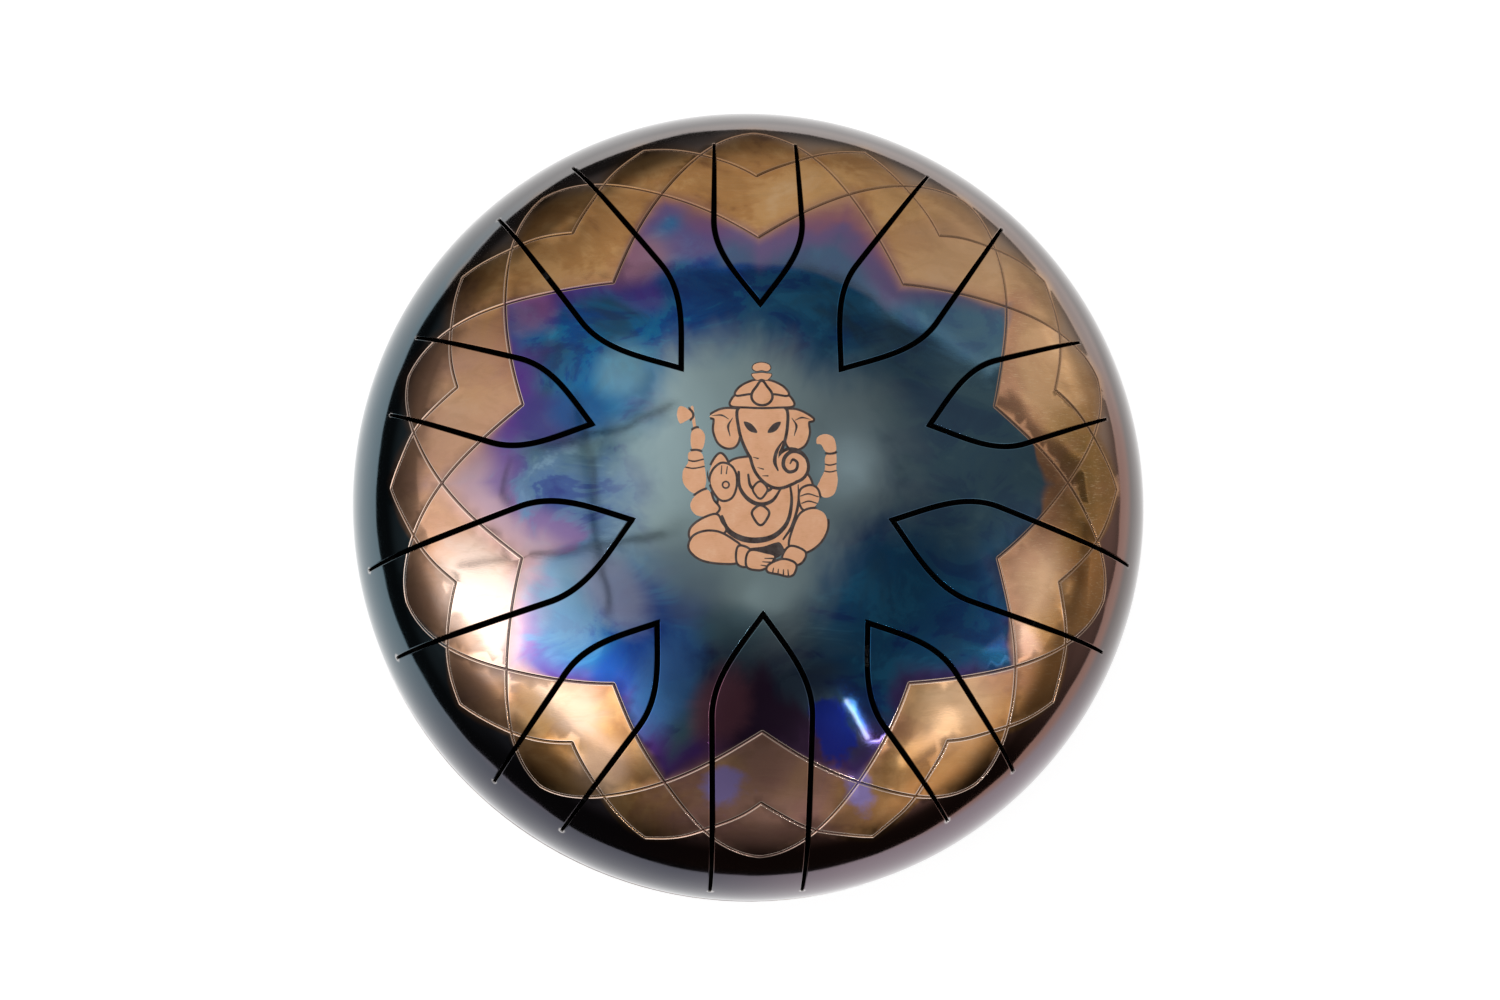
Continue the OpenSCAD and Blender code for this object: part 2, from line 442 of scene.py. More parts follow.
def make_mesh(name, verts, faces, normals=None, marks=None):
    """Mesh object from millimetres; normals are one per face corner, marks are named values per point."""
    me = bpy.data.meshes.new(name)
    me.from_pydata([(float(a) * MM, float(b) * MM, float(c) * MM) for a, b, c in verts], [],
                   [tuple(int(i) for i in f) for f in faces])
    me.polygons.foreach_set("use_smooth", [True] * len(me.polygons))
    me.update()
    for key, values in (marks or {}).items():
        me.attributes.new(key, "FLOAT", "POINT").data.foreach_set("value", np.asarray(values, np.float32))
    if normals is not None:
        me.normals_split_custom_set([tuple(float(v) for v in n) for n in normals])
    ob = bpy.data.objects.new(name, me)
    scene.collection.objects.link(ob)
    return ob


def sheet_pieces(uv, tris, piece_of, names, surf, surf_n, wall_n, marks, inner_rows, spring, up, loops):
    """Closed meshes from one triangulated sheet: outer faces, inner faces and the walls between them."""
    out = {}
    # inner side: coarser, but with the same border points
    border = np.vstack([boundary_edges(tris[piece_of == k]) for k in range(len(names))])
    ids = np.unique(border)
    local = {int(v): i for i, v in enumerate(ids)}
    s = Sheet()
    s.add(uv[ids])
    s.edges = [(local[int(a)], local[int(b)]) for a, b in np.unique(np.sort(border, axis=1), axis=0)]
    s.rings(inner_rows, 1.2)
    iuv, itri = triangulate(s.pts, s.edges)
    cen = iuv[itri].mean(1)
    ipiece = loops(cen)
    tree = kdtree.KDTree(len(ids))
    for i, v in enumerate(ids):
        tree.insert((uv[v, 0], uv[v, 1], 0.0), i)
    tree.balance()
    ipos, inrm = on_dome(iuv, -SHEET, spring, up)
    match = {}
    for i, p in enumerate(iuv):
        _, j, d = tree.find((p[0], p[1], 0.0))
        if d < 2e-3:
            match[int(ids[j])] = i
    for k, name in enumerate(names):
        ft = tris[piece_of == k]
        it = itri[ipiece == k]
        used = np.unique(ft)
        iused = np.unique(it)
        om = {int(v): i for i, v in enumerate(used)}
        im = {int(v): i + len(used) for i, v in enumerate(iused)}
        verts = np.vstack([surf[used], ipos[iused]])
        faces, normals = [], []
        for a, b, c in ft:
            f = (a, b, c) if up > 0 else (c, b, a)
            faces.append([om[int(v)] for v in f])
            normals += [surf_n[v] for v in f]
        for a, b, c in it:
            f = (c, b, a) if up > 0 else (a, b, c)
            faces.append([im[int(v)] for v in f])
            normals += [-inrm[v] for v in f]
        for a, b in boundary_edges(ft):
            a, b = int(a), int(b)
            ia, ib = match[a], match[b]
            quad = [om[b], om[a], im[ia], im[ib]]
            wn = [wall_n(b, a, k), wall_n(a, b, k)]
            wn = [wn[0], wn[1], wn[1], wn[0]]
            if up < 0:
                quad, wn = quad[::-1], wn[::-1]
            faces.append(quad)
            normals += wn
        cols = {key: np.concatenate([v[used], np.zeros(len(iused))]) for key, v in (marks or {}).items()}
        cols["inner"] = np.concatenate([np.zeros(len(used)), np.ones(len(iused))])
        out[name] = make_mesh(name, verts, faces, normals, cols)
    return out


def top_sheet():
    s, rims, grooves = Sheet(), Near(), Near()
    voids, loops = [], []
    tongues = [Tongue(*t) for t in TONGUES]
    for t in tongues:
        t.build(s.add, s.link, rims, voids, loops)
    n_fixed = len(s.pts)
    for line in lotus_lines():
        uv = resample(unroll(line), 1.4)
        tan = unit(np.gradient(uv, axis=0))
        nrm = np.column_stack([-tan[:, 1], tan[:, 0]])
        for off in (0.0, 0.27, -0.27, 0.46, -0.46, 0.65, -0.65, GROOVE_W, -GROOVE_W):
            s.link(s.add(uv + nrm * off))
        fine = resample(unroll(line), 0.4)
        grooves.add(on_dome(fine)[0])
    rim_a = np.arange(360) * 2 * math.pi / 360
    skirt = [s.add(np.column_stack([rr * np.cos(rim_a), rr * np.sin(rim_a)])) for rr in (RHO3,)]
    s.link(skirt[0], True)
    rows = [(r, 4.2) for r in np.arange(4.0, RHO1 - 1, 3.8)]
    rows += [(r, 3.0) for r in np.arange(RHO1, RHO2 - 1, 2.1)] + [(RHO2, 2.8), (RHO2 + 3, 2.8), (RHO2 + 5.5, 2.8)]
    s.rings(rows, 0.9)
    s.pts.append((0.0, 0.0))
    uv, tris = triangulate(s.pts, s.edges)
    base = np.array(s.pts, float)
    voidp = [base[v] for v in voids]
    loopp = [base[v] for v in loops]

    def classify(c):
        out = np.zeros(len(c), int)
        for p in voidp:
            out[inside(c, p)] = -1
        for k, p in enumerate(loopp):
            out[inside(c, p)] = k + 1
        return out

    kind = classify(uv[tris].mean(1))
    tris, kind = tris[kind >= 0], kind[kind >= 0]
    pos, nrm = on_dome(uv)
    rims.build()
    grooves.build()
    e, foot, side = rims.find(pos, RIM)
    g, gfoot, _ = grooves.find(pos, GROOVE_W)
    # engraving
    surf, sn = pos.copy(), nrm.copy()
    m = np.isfinite(g)
    d = g[m]
    x = np.minimum(d / CUT_W, 1.0)
    w0 = 0.42
    q = np.clip((d - w0) / (GROOVE_W - w0), 0, 1)
    h = -CUT_D * 0.5 * (1 + np.cos(math.pi * x)) * (d < CUT_W) + LIP_H * 0.5 * (1 - np.cos(2 * math.pi * q))
    slope = CUT_D * 0.5 * math.pi / CUT_W * np.sin(math.pi * x) * (d < CUT_W)
    slope += LIP_H * math.pi / (GROOVE_W - w0) * np.sin(2 * math.pi * q)
    surf[m] += nrm[m] * h[:, None]
    away = pos[m] - gfoot[m]
    away = np.where(d[:, None] > 1e-6, away / np.maximum(d, 1e-6)[:, None], 0)
    sn[m] = unit(nrm[m] - away * slope[:, None])
    # rounded edges of the cuts
    m = np.isfinite(e)
    k = np.clip((RIM - e[m]) / RIM, 0, 1)
    surf[m] -= nrm[m] * (RIM - np.sqrt(np.maximum(RIM ** 2 - (k * RIM) ** 2, 0)))[:, None]
    sd = unit(side[m] - nrm[m] * (side[m] * nrm[m]).sum(1)[:, None])
    sn[m] = unit(sn[m] * np.sqrt(np.maximum(1 - k ** 2, 0))[:, None] + sd * k[:, None])
    full_side = np.zeros_like(nrm)
    full_side[m] = sd
    rho = np.hypot(uv[:, 0], uv[:, 1])

    def wall_n(v, w, k):
        if rho[v] > RHO3 - 0.01 and rho[w] > RHO3 - 0.01:
            return np.array([0, 0, -1.0])
        if e[v] < 0.02 and e[w] < 0.02:
            return full_side[v]
        best, bd = None, 1e9
        for t in tongues:
            ang = abs((math.degrees(math.atan2(uv[v, 1], uv[v, 0])) - t.bearing + 180) % 360 - 180)
            if ang < bd:
                best, bd = t, ang
        a = math.radians(best.bearing)
        tip = np.array([-math.cos(best.slope) * math.cos(a), -math.cos(best.slope) * math.sin(a), math.sin(best.slope)])
        return -tip if k > 0 else tip

    names = ["shell_top_tinted"] + [t.name + "_plate" for t in tongues]
    inner_rows = [(r, 9.0) for r in np.arange(6.0, RHO1, 8.0)] + [(r, 6.0) for r in np.arange(RHO1 + 3, RHO2, 4.0)] + [(RHO2 + 3, 6.0)]
    marks = {"groove": np.where(np.isfinite(g), np.clip(1 - g / GROOVE_W, 0, 1), 0.0),
             "rim": np.where(np.isfinite(e), np.clip((RIM - e) / RIM, 0, 1), 0.0)}
    ends = on_dome(np.array([q for t in tongues for q in t.ends]))[0]
    marks["ends"] = np.clip(1 - np.linalg.norm(pos[:, None] - ends[None], axis=2).min(axis=1) / 3.4, 0, 1)
    made = sheet_pieces(uv, tris, kind, names, surf, sn, wall_n, marks, inner_rows, Z_TOP_SPRING, 1.0, classify)
    return made, tongues


made, tongues = top_sheet()
shell = made["shell_top_tinted"]
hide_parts("top_shell")
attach(shell, "drum_body")
for t in tongues:
    ob = made[t.name + "_plate"]
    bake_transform(ob)
    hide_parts(t.name)
print("top sheet", {k: len(v.data.polygons) for k, v in made.items()})


# ---------------------------------------------------------------------------------------------
# Bottom shell: the same pressing turned over, with the sound port and the holes for the foot screws
# ---------------------------------------------------------------------------------------------
FEET = [("foot_front_left", -135), ("foot_front_right", -45), ("foot_rear_left", 135), ("foot_rear_right", 45)]
FOOT_R, PORT_R, PORT_RIM = 75.0, 35.0, 0.9


def bottom_sheet():
    s, rims = Sheet(), Near()
    voids = []
    holes = [(np.zeros(2), float(rho_of(PORT_R)), 180, PORT_RIM)]
    holes += [(polar(float(rho_of(FOOT_R)), b), 2.25, 28, 0.0) for _, b in FEET]
    for centre, rad, n, rim in holes:
        a = np.arange(n) * 2 * math.pi / n
        ring = np.column_stack([np.cos(a), np.sin(a)])
        ids = s.add(centre + rad * ring)
        s.link(ids, True)
        voids.append(ids)
        for x in ((0.07, 0.3, 0.6, 1.0) if rim else ()):
            s.link(s.add(centre + (rad + rim * x) * ring), True)
        p3 = on_dome(centre + rad * ring, 0.0, Z_LOW_SPRING, -1.0)[0]
        q3 = on_dome(centre + (rad - 0.01) * ring, 0.0, Z_LOW_SPRING, -1.0)[0]
        rims.add(np.vstack([p3, p3[:1]]), np.vstack([unit(q3 - p3), unit(q3 - p3)[:1]]))
    a = np.arange(360) * 2 * math.pi / 360
    s.link(s.add(np.column_stack([RHO3 * np.cos(a), RHO3 * np.sin(a)])), True)
    rows = [(r, 5.0) for r in np.arange(PORT_R + 3, RHO1 - 1, 4.6)]
    rows += [(r, 3.4) for r in np.arange(RHO1, RHO2 - 1, 2.4)] + [(RHO2, 3.0), (RHO2 + 4, 3.0)]
    s.rings(rows, 1.6)
    uv, tris = triangulate(s.pts, s.edges)
    base = np.array(s.pts, float)
    voidp = [base[v] for v in voids]

    def classify(c):
        out = np.zeros(len(c), int)
        for p in voidp:
            out[inside(c, p)] = -1
        return out

    kind = classify(uv[tris].mean(1))
    tris, kind = tris[kind >= 0], kind[kind >= 0]
    pos, nrm = on_dome(uv, 0.0, Z_LOW_SPRING, -1.0)
    rims.build()
    e, _, side = rims.find(pos, PORT_RIM)
    rho = np.hypot(uv[:, 0], uv[:, 1])
    surf, sn = pos.copy(), nrm.copy()
    sd = np.where(np.isfinite(e)[:, None], unit(side - nrm * (side * nrm).sum(1)[:, None]), 0)
    m = np.isfinite(e) & (rho < PORT_R + 4)
    k = np.clip((PORT_RIM - e[m]) / PORT_RIM, 0, 1)
    surf[m] -= nrm[m] * (PORT_RIM - np.sqrt(np.maximum(PORT_RIM ** 2 - (k * PORT_RIM) ** 2, 0)))[:, None]
    sn[m] = unit(nrm[m] * np.sqrt(np.maximum(1 - k ** 2, 0))[:, None] + sd[m] * k[:, None])

    def wall_n(v, w, k):
        if rho[v] > RHO3 - 0.01:
            return np.array([0, 0, 1.0])
        return sd[v]

    inner_rows = [(r, 9.0) for r in np.arange(PORT_R + 6.0, RHO1, 8.0)] + [(r, 6.0) for r in np.arange(RHO1 + 3, RHO2, 4.0)]
    return sheet_pieces(uv, tris, kind, ["shell_bottom_tinted"], surf, sn, wall_n, None, inner_rows,
                        Z_LOW_SPRING, -1.0, classify)["shell_bottom_tinted"]


low = bottom_sheet()
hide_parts("bottom_shell")
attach(low, "drum_body")


# ---------------------------------------------------------------------------------------------
# Ring solids: a list of rings with the same number of points, joined one to the next
# ---------------------------------------------------------------------------------------------
def ring_faces(rings, n, first=0, closed=True):
    faces = []
    m = len(rings)
    for k in range(m if closed else m - 1):
        a, b = first + k * n, first + ((k + 1) % m) * n
        for i in range(n):
            j = (i + 1) % n
            faces.append((a + i, a + j, b + j, b + i))
    return faces


def smooth_piece(name, verts, faces, angle=40.0):
    ob = make_mesh(name, verts, faces)
    ob.data.set_sharp_from_angle(angle=math.radians(angle))
    return ob


# Seam weld: a ground bead that still shows a little of its ripple
def weld_ring():
    n = 540
    a = np.arange(n) * 2 * math.pi / n
    rng = np.random.default_rng(7)
    wave = sum(rng.uniform(0.3, 1.0) * np.sin(k * a + rng.uniform(0, 6.28)) for k in (3, 5, 8, 13, 21, 34, 55, 89)) / 6.0
    ripple = 0.5 + 0.5 * np.sin(150 * a + 1.2 * np.sin(11 * a))
    section = [(148.0, -0.6), (147.65, -2.0), (147.65, 2.0), (148.0, 0.6), (150.0, 0.6), (150.0, 2.5),
               (150.14, 2.25), (150.26, 1.6), (150.31, 0.8), (150.31, -0.8), (150.26, -1.6), (150.14, -2.25),
               (150.0, -2.5), (150.0, -0.6)]
    rings = []
    for r, z in section:
        top = max(0.0, (r - 150.0) / 0.31)
        rr = r + top * (-0.05 + 0.035 * wave - 0.03 * ripple)
        zz = z * (1 + 0.05 * wave * (top > 0))
        rings.append(np.column_stack([rr * np.cos(a), rr * np.sin(a), Z_SEAM + zz]))
    verts = np.vstack(rings)
    return smooth_piece("seam_weld_ring", verts, [f[::-1] for f in ring_faces(rings, n)], 60)


weld = weld_ring()
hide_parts("seam_weld")
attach(weld, "drum_body")


# Feet and their screws
LOW_C = np.array([0.0, 0.0, 316.0])


def foot_frame(bearing):
    b = math.radians(bearing)
    z = 316.0 - math.sqrt(CROWN_R ** 2 - FOOT_R ** 2)
    p = np.array([FOOT_R * math.cos(b), FOOT_R * math.sin(b), z])
    u = unit(LOW_C - p)
    e1 = unit(np.cross(np.array([-math.sin(b), math.cos(b), 0.0]), u))
    # e1 and e2 follow the foot's own plan directions, so that rings on both axes line up
    ex = np.array([1.0, 0.0, 0.0])
    e1 = unit(ex - u * (ex @ u))
    e2 = np.cross(u, e1)
    c = (FOOT_R + 2.0) * np.array([math.cos(b), math.sin(b)])
    return p, u, e1, e2, c


def foot_piece(name, bearing):
    p, u, e1, e2, c = foot_frame(bearing)
    n = 72
    a = np.arange(n) * 2 * math.pi / n
    ca, sa = np.cos(a)[:, None], np.sin(a)[:, None]
    slant = u[2]

    def axis_ring(rad, at=None, z=None):
        ring = p + rad * (ca * e1 + sa * e2)
        if at is not None:
            return ring + at * u
        t = (z - ring[:, 2]) / slant
        return ring + t[:, None] * u

    def plan_ring(rad, z):
        q = c + rad * np.column_stack([np.cos(a), np.sin(a)])
        return np.column_stack([q, np.full(n, z)])

    def top_ring(rad, below=0.0):
        q = c + rad * np.column_stack([np.cos(a), np.sin(a)])
        zz = 316.0 - np.sqrt(CROWN_R ** 2 - (q ** 2).sum(1))
        return np.column_stack([q, zz - below])

    def cone(z):
        return np.interp(z, [0, 1, 23], [11.0, 12.0, 15.0])

    rings = [axis_ring(2.25, at=-0.02), axis_ring(2.25, at=-6.0), axis_ring(5.5, at=-6.0)]
    rings += [axis_ring(5.5, at=-6.4), axis_ring(5.5, z=0.75), axis_ring(5.62, z=0.3), axis_ring(5.95, z=0.06), axis_ring(6.3, z=0.0)]
    rings += [plan_ring(8.2, 0.0), plan_ring(10.2, 0.0), plan_ring(10.75, 0.12), plan_ring(11.25, 0.45), plan_ring(11.65, 0.9),
              plan_ring(11.95, 1.5)]
    # side: even steps up to the shell, which is higher on the outer side
    tops = top_ring(float(cone(14.5)) - 0.1, 0.55)
    z_hi = tops[:, 2]
    for f in (0.15, 0.3, 0.45, 0.6, 0.75, 0.88):
        z = 1.5 + (z_hi - 1.5) * f
        rr = np.interp(z, [0, 1, 23], [11.0, 12.0, 15.0])
        # a shallow moulded waist groove runs round the foot
        rr = rr - 0.22 * np.exp(-((f - 0.45) / 0.06) ** 2)
        rings.append(np.column_stack([c + rr[:, None] * np.column_stack([np.cos(a), np.sin(a)]), z]))
    for back, below in ((0.0, 0.75), (0.12, 0.32), (0.4, 0.06), (0.9, 0.02)):
        q = top_ring(13.6, 0)
        rr = np.interp(q[:, 2], [0, 1, 23], [11.0, 12.0, 15.0]) - back
        qq = c + rr[:, None] * np.column_stack([np.cos(a), np.sin(a)])
        zz = 316.0 - np.sqrt(CROWN_R ** 2 - (qq ** 2).sum(1)) - below
        rings.append(np.column_stack([qq, zz]))
    rings += [top_ring(9.5, 0.02), top_ring(5.5, 0.02)]
    verts = np.vstack(rings)
    ob = smooth_piece(name + "_rubber", verts, ring_faces(rings, n), 50)
    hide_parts(name)
    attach(ob, "drum_body")
    return ob


feet = [foot_piece(*f) for f in FEET]


def cross_outline(w, l):
    return np.array([(w, w), (l, w), (l, -w), (w, -w), (w, -l), (-w, -l), (-w, -w), (-l, -w), (-l, w), (-w, w), (-w, l), (w, l)])


def screw_set():
    verts, faces = [], []
    n = 48
    a = np.arange(n) * 2 * math.pi / n
    ca, sa = np.cos(a), np.sin(a)
    # profile from the shank end to the head, height along the axis
    prof = [(1.5, 8.0), (1.9, 7.6), (2.0, 7.2)]
    z = 6.9
    while z > -5.2:
        prof += [(2.0, z), (1.72, z - 0.22), (1.72, z - 0.35), (2.0, z - 0.57)]
        z -= 0.7
    prof += [(2.0, -5.4), (2.0, -6.6), (2.15, -6.78), (3.8, -6.8), (4.0, -6.95), (4.0, -7.9), (3.9, -8.3), (3.6, -8.68), (3.1, -8.95), (2.75, -9.06)]
    for name, bearing in FEET:
        p, u, e1, e2, c = foot_frame(bearing)
        base = len(verts)
        rings = [np.column_stack([r * ca, r * sa, np.full(n, h)]) for r, h in prof]
        loc = list(np.vstack(rings))
        fs = [tuple(f) for f in ring_faces(rings, n, 0, False)]
        # shank end
        loc.append(np.array([0, 0, 8.0]))
        fs += [(len(loc) - 1, (i + 1) % n, i) for i in range(n)]
        # driven face with a cross recess
        s = Sheet()
        ring_ids = s.add(np.column_stack([2.75 * ca, 2.75 * sa]))
        s.link(ring_ids, True)
        cross = cross_outline(0.42, 1.95)
        cr_ids = s.add(cross)
        s.link(cr_ids, True)
        uv, tris = triangulate(s.pts, s.edges)
        keep = ~inside(uv[tris].mean(1), cross)
        off = len(loc)
        last = (len(prof) - 1) * n
        idx = {}
        for i, q in enumerate(uv):
            rr = math.hypot(*q)
            if rr > 2.7:
                k = int(round(math.atan2(q[1], q[0]) / (2 * math.pi / n))) % n
                idx[i] = last + k
            else:
                idx[i] = len(loc)
                loc.append(np.array([q[0], q[1], -9.06 - 0.14 * (1 - (rr / 2.75) ** 2)]))
        fs += [tuple(idx[int(v)] for v in t[::-1]) for t in tris[keep]]
        # recess walls and floor
        by_place = {tuple(np.round(q, 4)): i for i, q in enumerate(uv)}
        rim_ids = [idx[by_place[tuple(np.round(q, 4))]] for q in cross]
        floor = cross_outline(0.3, 1.1)
        fl = []
        for q in floor:
            fl.append(len(loc))
            loc.append(np.array([q[0], q[1], -7.7]))
        m = len(rim_ids)
        for i in range(m):
            j = (i + 1) % m
            fs.append((rim_ids[i], rim_ids[j], fl[j], fl[i]))
        fs.append(tuple(fl))
        loc = np.array(loc)
        world = p + loc[:, :1] * e1 + loc[:, 1:2] * e2 + loc[:, 2:] * u
        verts += list(world)
        faces += [tuple(base + v for v in f) for f in fs]
    ob = smooth_piece("foot_screw_set", verts, faces, 35)
    import bmesh
    bm = bmesh.new()
    bm.from_mesh(ob.data)
    bmesh.ops.recalc_face_normals(bm, faces=bm.faces)
    bm.to_mesh(ob.data)
    bm.free()
    ob.data.set_sharp_from_angle(angle=math.radians(35))
    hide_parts("foot_screws")
    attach(ob, "drum_body")
    return ob


screws = screw_set()


# ---------------------------------------------------------------------------------------------
# Traditional seated figure in the middle: copper-coloured patches, drawn as brush shapes in plan
# ---------------------------------------------------------------------------------------------
EMBLEM_GAP = 0.85


def smooth(pts, closed=True, n=8):
    p = np.asarray(pts, float)
    m = len(p)
    out = []
    last = m if closed else m - 1
    for i in range(last):
        p0 = p[(i - 1) % m] if closed or i > 0 else 2 * p[0] - p[1]
        p1, p2 = p[i], p[(i + 1) % m]
        p3 = p[(i + 2) % m] if closed or i + 2 < m else 2 * p[-1] - p[-2]
        for k in range(n):
            t = k / n
            out.append(0.5 * (2 * p1 + (p2 - p0) * t + (2 * p0 - 5 * p1 + 4 * p2 - p3) * t * t + (3 * p1 - p0 - 3 * p2 + p3) * t ** 3))
    if not closed:
        out.append(p[-1])
    return np.array(out)


def stroke(pts, widths, n=8):
    """Outline of a brush stroke with a width at each point and round ends."""
    c = smooth(pts, False, n)
    w = np.interp(np.linspace(0, len(pts) - 1, len(c)), range(len(pts)), widths) / 2
    t = np.gradient(c, axis=0)
    t /= np.linalg.norm(t, axis=1, keepdims=True)
    nn = np.column_stack([-t[:, 1], t[:, 0]])
    left, right = c + nn * w[:, None], c - nn * w[:, None]
    def cap(centre, d, r):
        a0 = math.atan2(d[1], d[0])
        a = a0 + np.linspace(math.pi / 2, -math.pi / 2, 7)[1:-1]
        return centre + r * np.column_stack([np.cos(a), np.sin(a)])
    return np.vstack([left, cap(c[-1], t[-1], w[-1]), right[::-1], cap(c[0], -t[0], w[0])])


def oval(cx, cy, rx, ry, tilt=0.0, n=28):
    a = np.arange(n) * 2 * math.pi / n
    q = np.column_stack([rx * np.cos(a), ry * np.sin(a)])
    b = math.radians(tilt)
    return np.column_stack([cx + q[:, 0] * math.cos(b) - q[:, 1] * math.sin(b), cy + q[:, 0] * math.sin(b) + q[:, 1] * math.cos(b)])


def figure():
    """Painter's list, back to front: (kind, outlines, gap). 'put' clears a margin round itself first."""
    L = []
    put = lambda *o, gap=EMBLEM_GAP: L.append(("put", list(o), gap))
    cut = lambda *o: L.append(("cut", list(o), 0.0))
    # ears
    put(smooth([(-7.5, 21.6), (-11, 22.8), (-15, 22.4), (-18.8, 20.2), (-17, 19.2), (-17.2, 15), (-15.6, 11.2), (-12.4, 9.6), (-9.4, 10.6), (-8, 15)]))
    put(smooth([(7.5, 21.6), (11, 22.6), (14.6, 21.6), (18.2, 19.2), (16.4, 18.2), (16.6, 14.2), (15, 10.6), (11.8, 9.2), (9, 10.4), (8, 15)]))
    cut(stroke([(-10.6, 19.6), (-12.2, 16.6), (-11.6, 13.2)], [0.2, 0.9, 0.3]))
    cut(stroke([(-18.2, 20.4), (-14.6, 20.6), (-12, 19.2)], [0.1, 0.7, 0.2]))
    cut(stroke([(10.6, 19.6), (12.2, 16.8), (11.4, 13.4)], [0.2, 0.9, 0.3]))
    cut(stroke([(17.4, 19.2), (14.2, 19.8), (11.8, 18.8)], [0.1, 0.7, 0.2]))
    # raised arm with a small axe, viewer's left
    put(stroke([(-23.4, 12.6), (-24.4, 18.2), (-25.0, 23.6)], [1.1, 1.1, 1.0]))
    put(smooth([(-25.4, 21.8), (-27.6, 23.6), (-29.6, 23.8), (-30.4, 20.8), (-29.4, 17.8), (-27.6, 18.4), (-25.2, 20.0)]))
    put(smooth([(-25.6, 12.2), (-25.0, 15.0), (-22.6, 15.8), (-20.6, 13.8), (-20.8, 10.6), (-22, 9.0), (-25, 9.2)]))
    put(smooth([(-26.2, 8.2), (-21.8, 8.0), (-20.6, 3.0), (-20.2, -2.0), (-21.6, -5.4), (-25.0, -5.8), (-28.2, -2.4), (-28.4, 2.0), (-26.6, 5.0)]))
    cut(stroke([(-27.2, 6.0), (-24.4, 5.4), (-20.4, 6.2)], [0.5, 0.55, 0.5]))
    cut(stroke([(-28.2, 3.6), (-24.6, 3.0), (-20.0, 3.8)], [0.5, 0.55, 0.5]))
    # raised arm, viewer's right, with a looped cord
    put(smooth([(22.6, 7.2), (26.2, 8.0), (26.4, 3.0), (26.8, -1.6), (25.4, -6.2), (21.8, -7.4), (19.4, -4.4), (20.4, -1.4), (22.2, 2.6)]))
    cut(stroke([(21.4, 4.8), (24, 4.2), (27, 4.9)], [0.5, 0.55, 0.5]))
    cut(stroke([(20.8, 2.4), (24, 1.8), (27, 2.5)], [0.5, 0.55, 0.5]))
    put(smooth([(22.8, 8.4), (21.0, 10.6), (19.4, 11.0), (19.8, 13.0), (22.6, 14.0), (25.4, 13.0), (26.4, 10.4), (26.0, 8.6)]))
    # body
    put(smooth([(-12, 4.6), (-6, 6.4), (6, 6.4), (13, 3.4), (17.2, -2.0), (17.0, -9), (15.8, -17), (11.6, -23.4), (4, -26.8), (-5, -27), (-12, -23.6), (-16, -16.6), (-15.6, -8), (-14.6, -1)]))
    # sash and the fold under the belly
    cut(stroke([(-14.6, -14.2), (-12.6, -19.0), (-8.0, -22.0), (-2.0, -22.8), (4.0, -21.2), (8.6, -16.4), (10.2, -9.0), (9.6, -2.0)], [0.9, 1.8, 2.1, 2.1, 1.8, 1.4, 1.1, 0.7]))
    cut(stroke([(12.6, -3.0), (12.6, -9.6), (10.4, -17.4), (7.2, -22.4)], [0.4, 1.0, 1.1, 0.7]))
    cut(smooth([(-4.6, -25.6), (0.0, -25.0), (4.4, -23.6), (6.2, -23.8), (7.4, -26.4), (5.0, -29.0), (3.0, -27.6), (-1.0, -26.6)]))
    # necklaces with pendants
    cut(stroke([(-8.6, 1.6), (-8.2, -4.0), (-5.2, -8.2), (-1.0, -10.0), (3.4, -8.6), (6.6, -4.0)], [0.9, 1.2, 1.5, 1.5, 1.2, 0.7]))
    cut(stroke([(-5.2, 0.6), (-4.4, -3.4), (-1.4, -5.6), (2.4, -4.8), (4.4, -2.6)], [0.8, 1.1, 1.2, 1.1, 0.6]))
    put(smooth([(-1.0, -2.2), (1.2, -4.4), (0.2, -6.6), (-1.0, -7.6), (-2.2, -6.6), (-3.2, -4.4)]), gap=0.8)
    put(smooth([(-0.9, -10.8), (1.5, -12.4), (1.4, -14.2), (-0.9, -17.0), (-3.2, -14.2), (-3.3, -12.4)]), gap=0.9)
    # hand of blessing, viewer's left, and its arm
    put(smooth([(-15.0, 7.6), (-12.4, 4.2), (-13.0, -0.6), (-16.6, -3.0), (-19.0, 0.0), (-18.0, 4.4)]))
    put(smooth([(-17.4, -5.2), (-18.6, -1.6), (-17.6, 2.0), (-14.8, 4.4), (-11.6, 3.6), (-9.8, 0.4), (-9.9, -4.2), (-11.6, -7.6), (-14.8, -8.2)]))
    cut(stroke([(-14.6, 3.8), (-14.8, 1.0)], [0.35, 0.5]), stroke([(-12.6, 3.6), (-13.0, 1.0)], [0.35, 0.5]))
    cut(oval(-13.2, -3.0, 1.5, 1.5), )
    put(oval(-13.2, -3.0, 0.85, 0.85), gap=0.0)
    put(smooth([(-19.6, -4.8), (-24.2, -7.0), (-25.8, -10.6), (-23.6, -13.8), (-19.0, -14.0), (-15.8, -11.6), (-17.8, -8.6)]))
    # giving hand, viewer's right
    put(smooth([(13.8, -4.8), (17.0, -3.4), (19.4, -4.8), (20.0, -8.2), (18.0, -11.0), (14.6, -11.6), (13.2, -8.4)]))
    cut(stroke([(13.4, -7.0), (16.2, -6.2), (19.8, -7.2)], [0.4, 0.6, 0.4]))
    cut(stroke([(13.8, -9.6), (16.4, -8.8), (19.4, -9.6)], [0.4, 0.6, 0.4]))
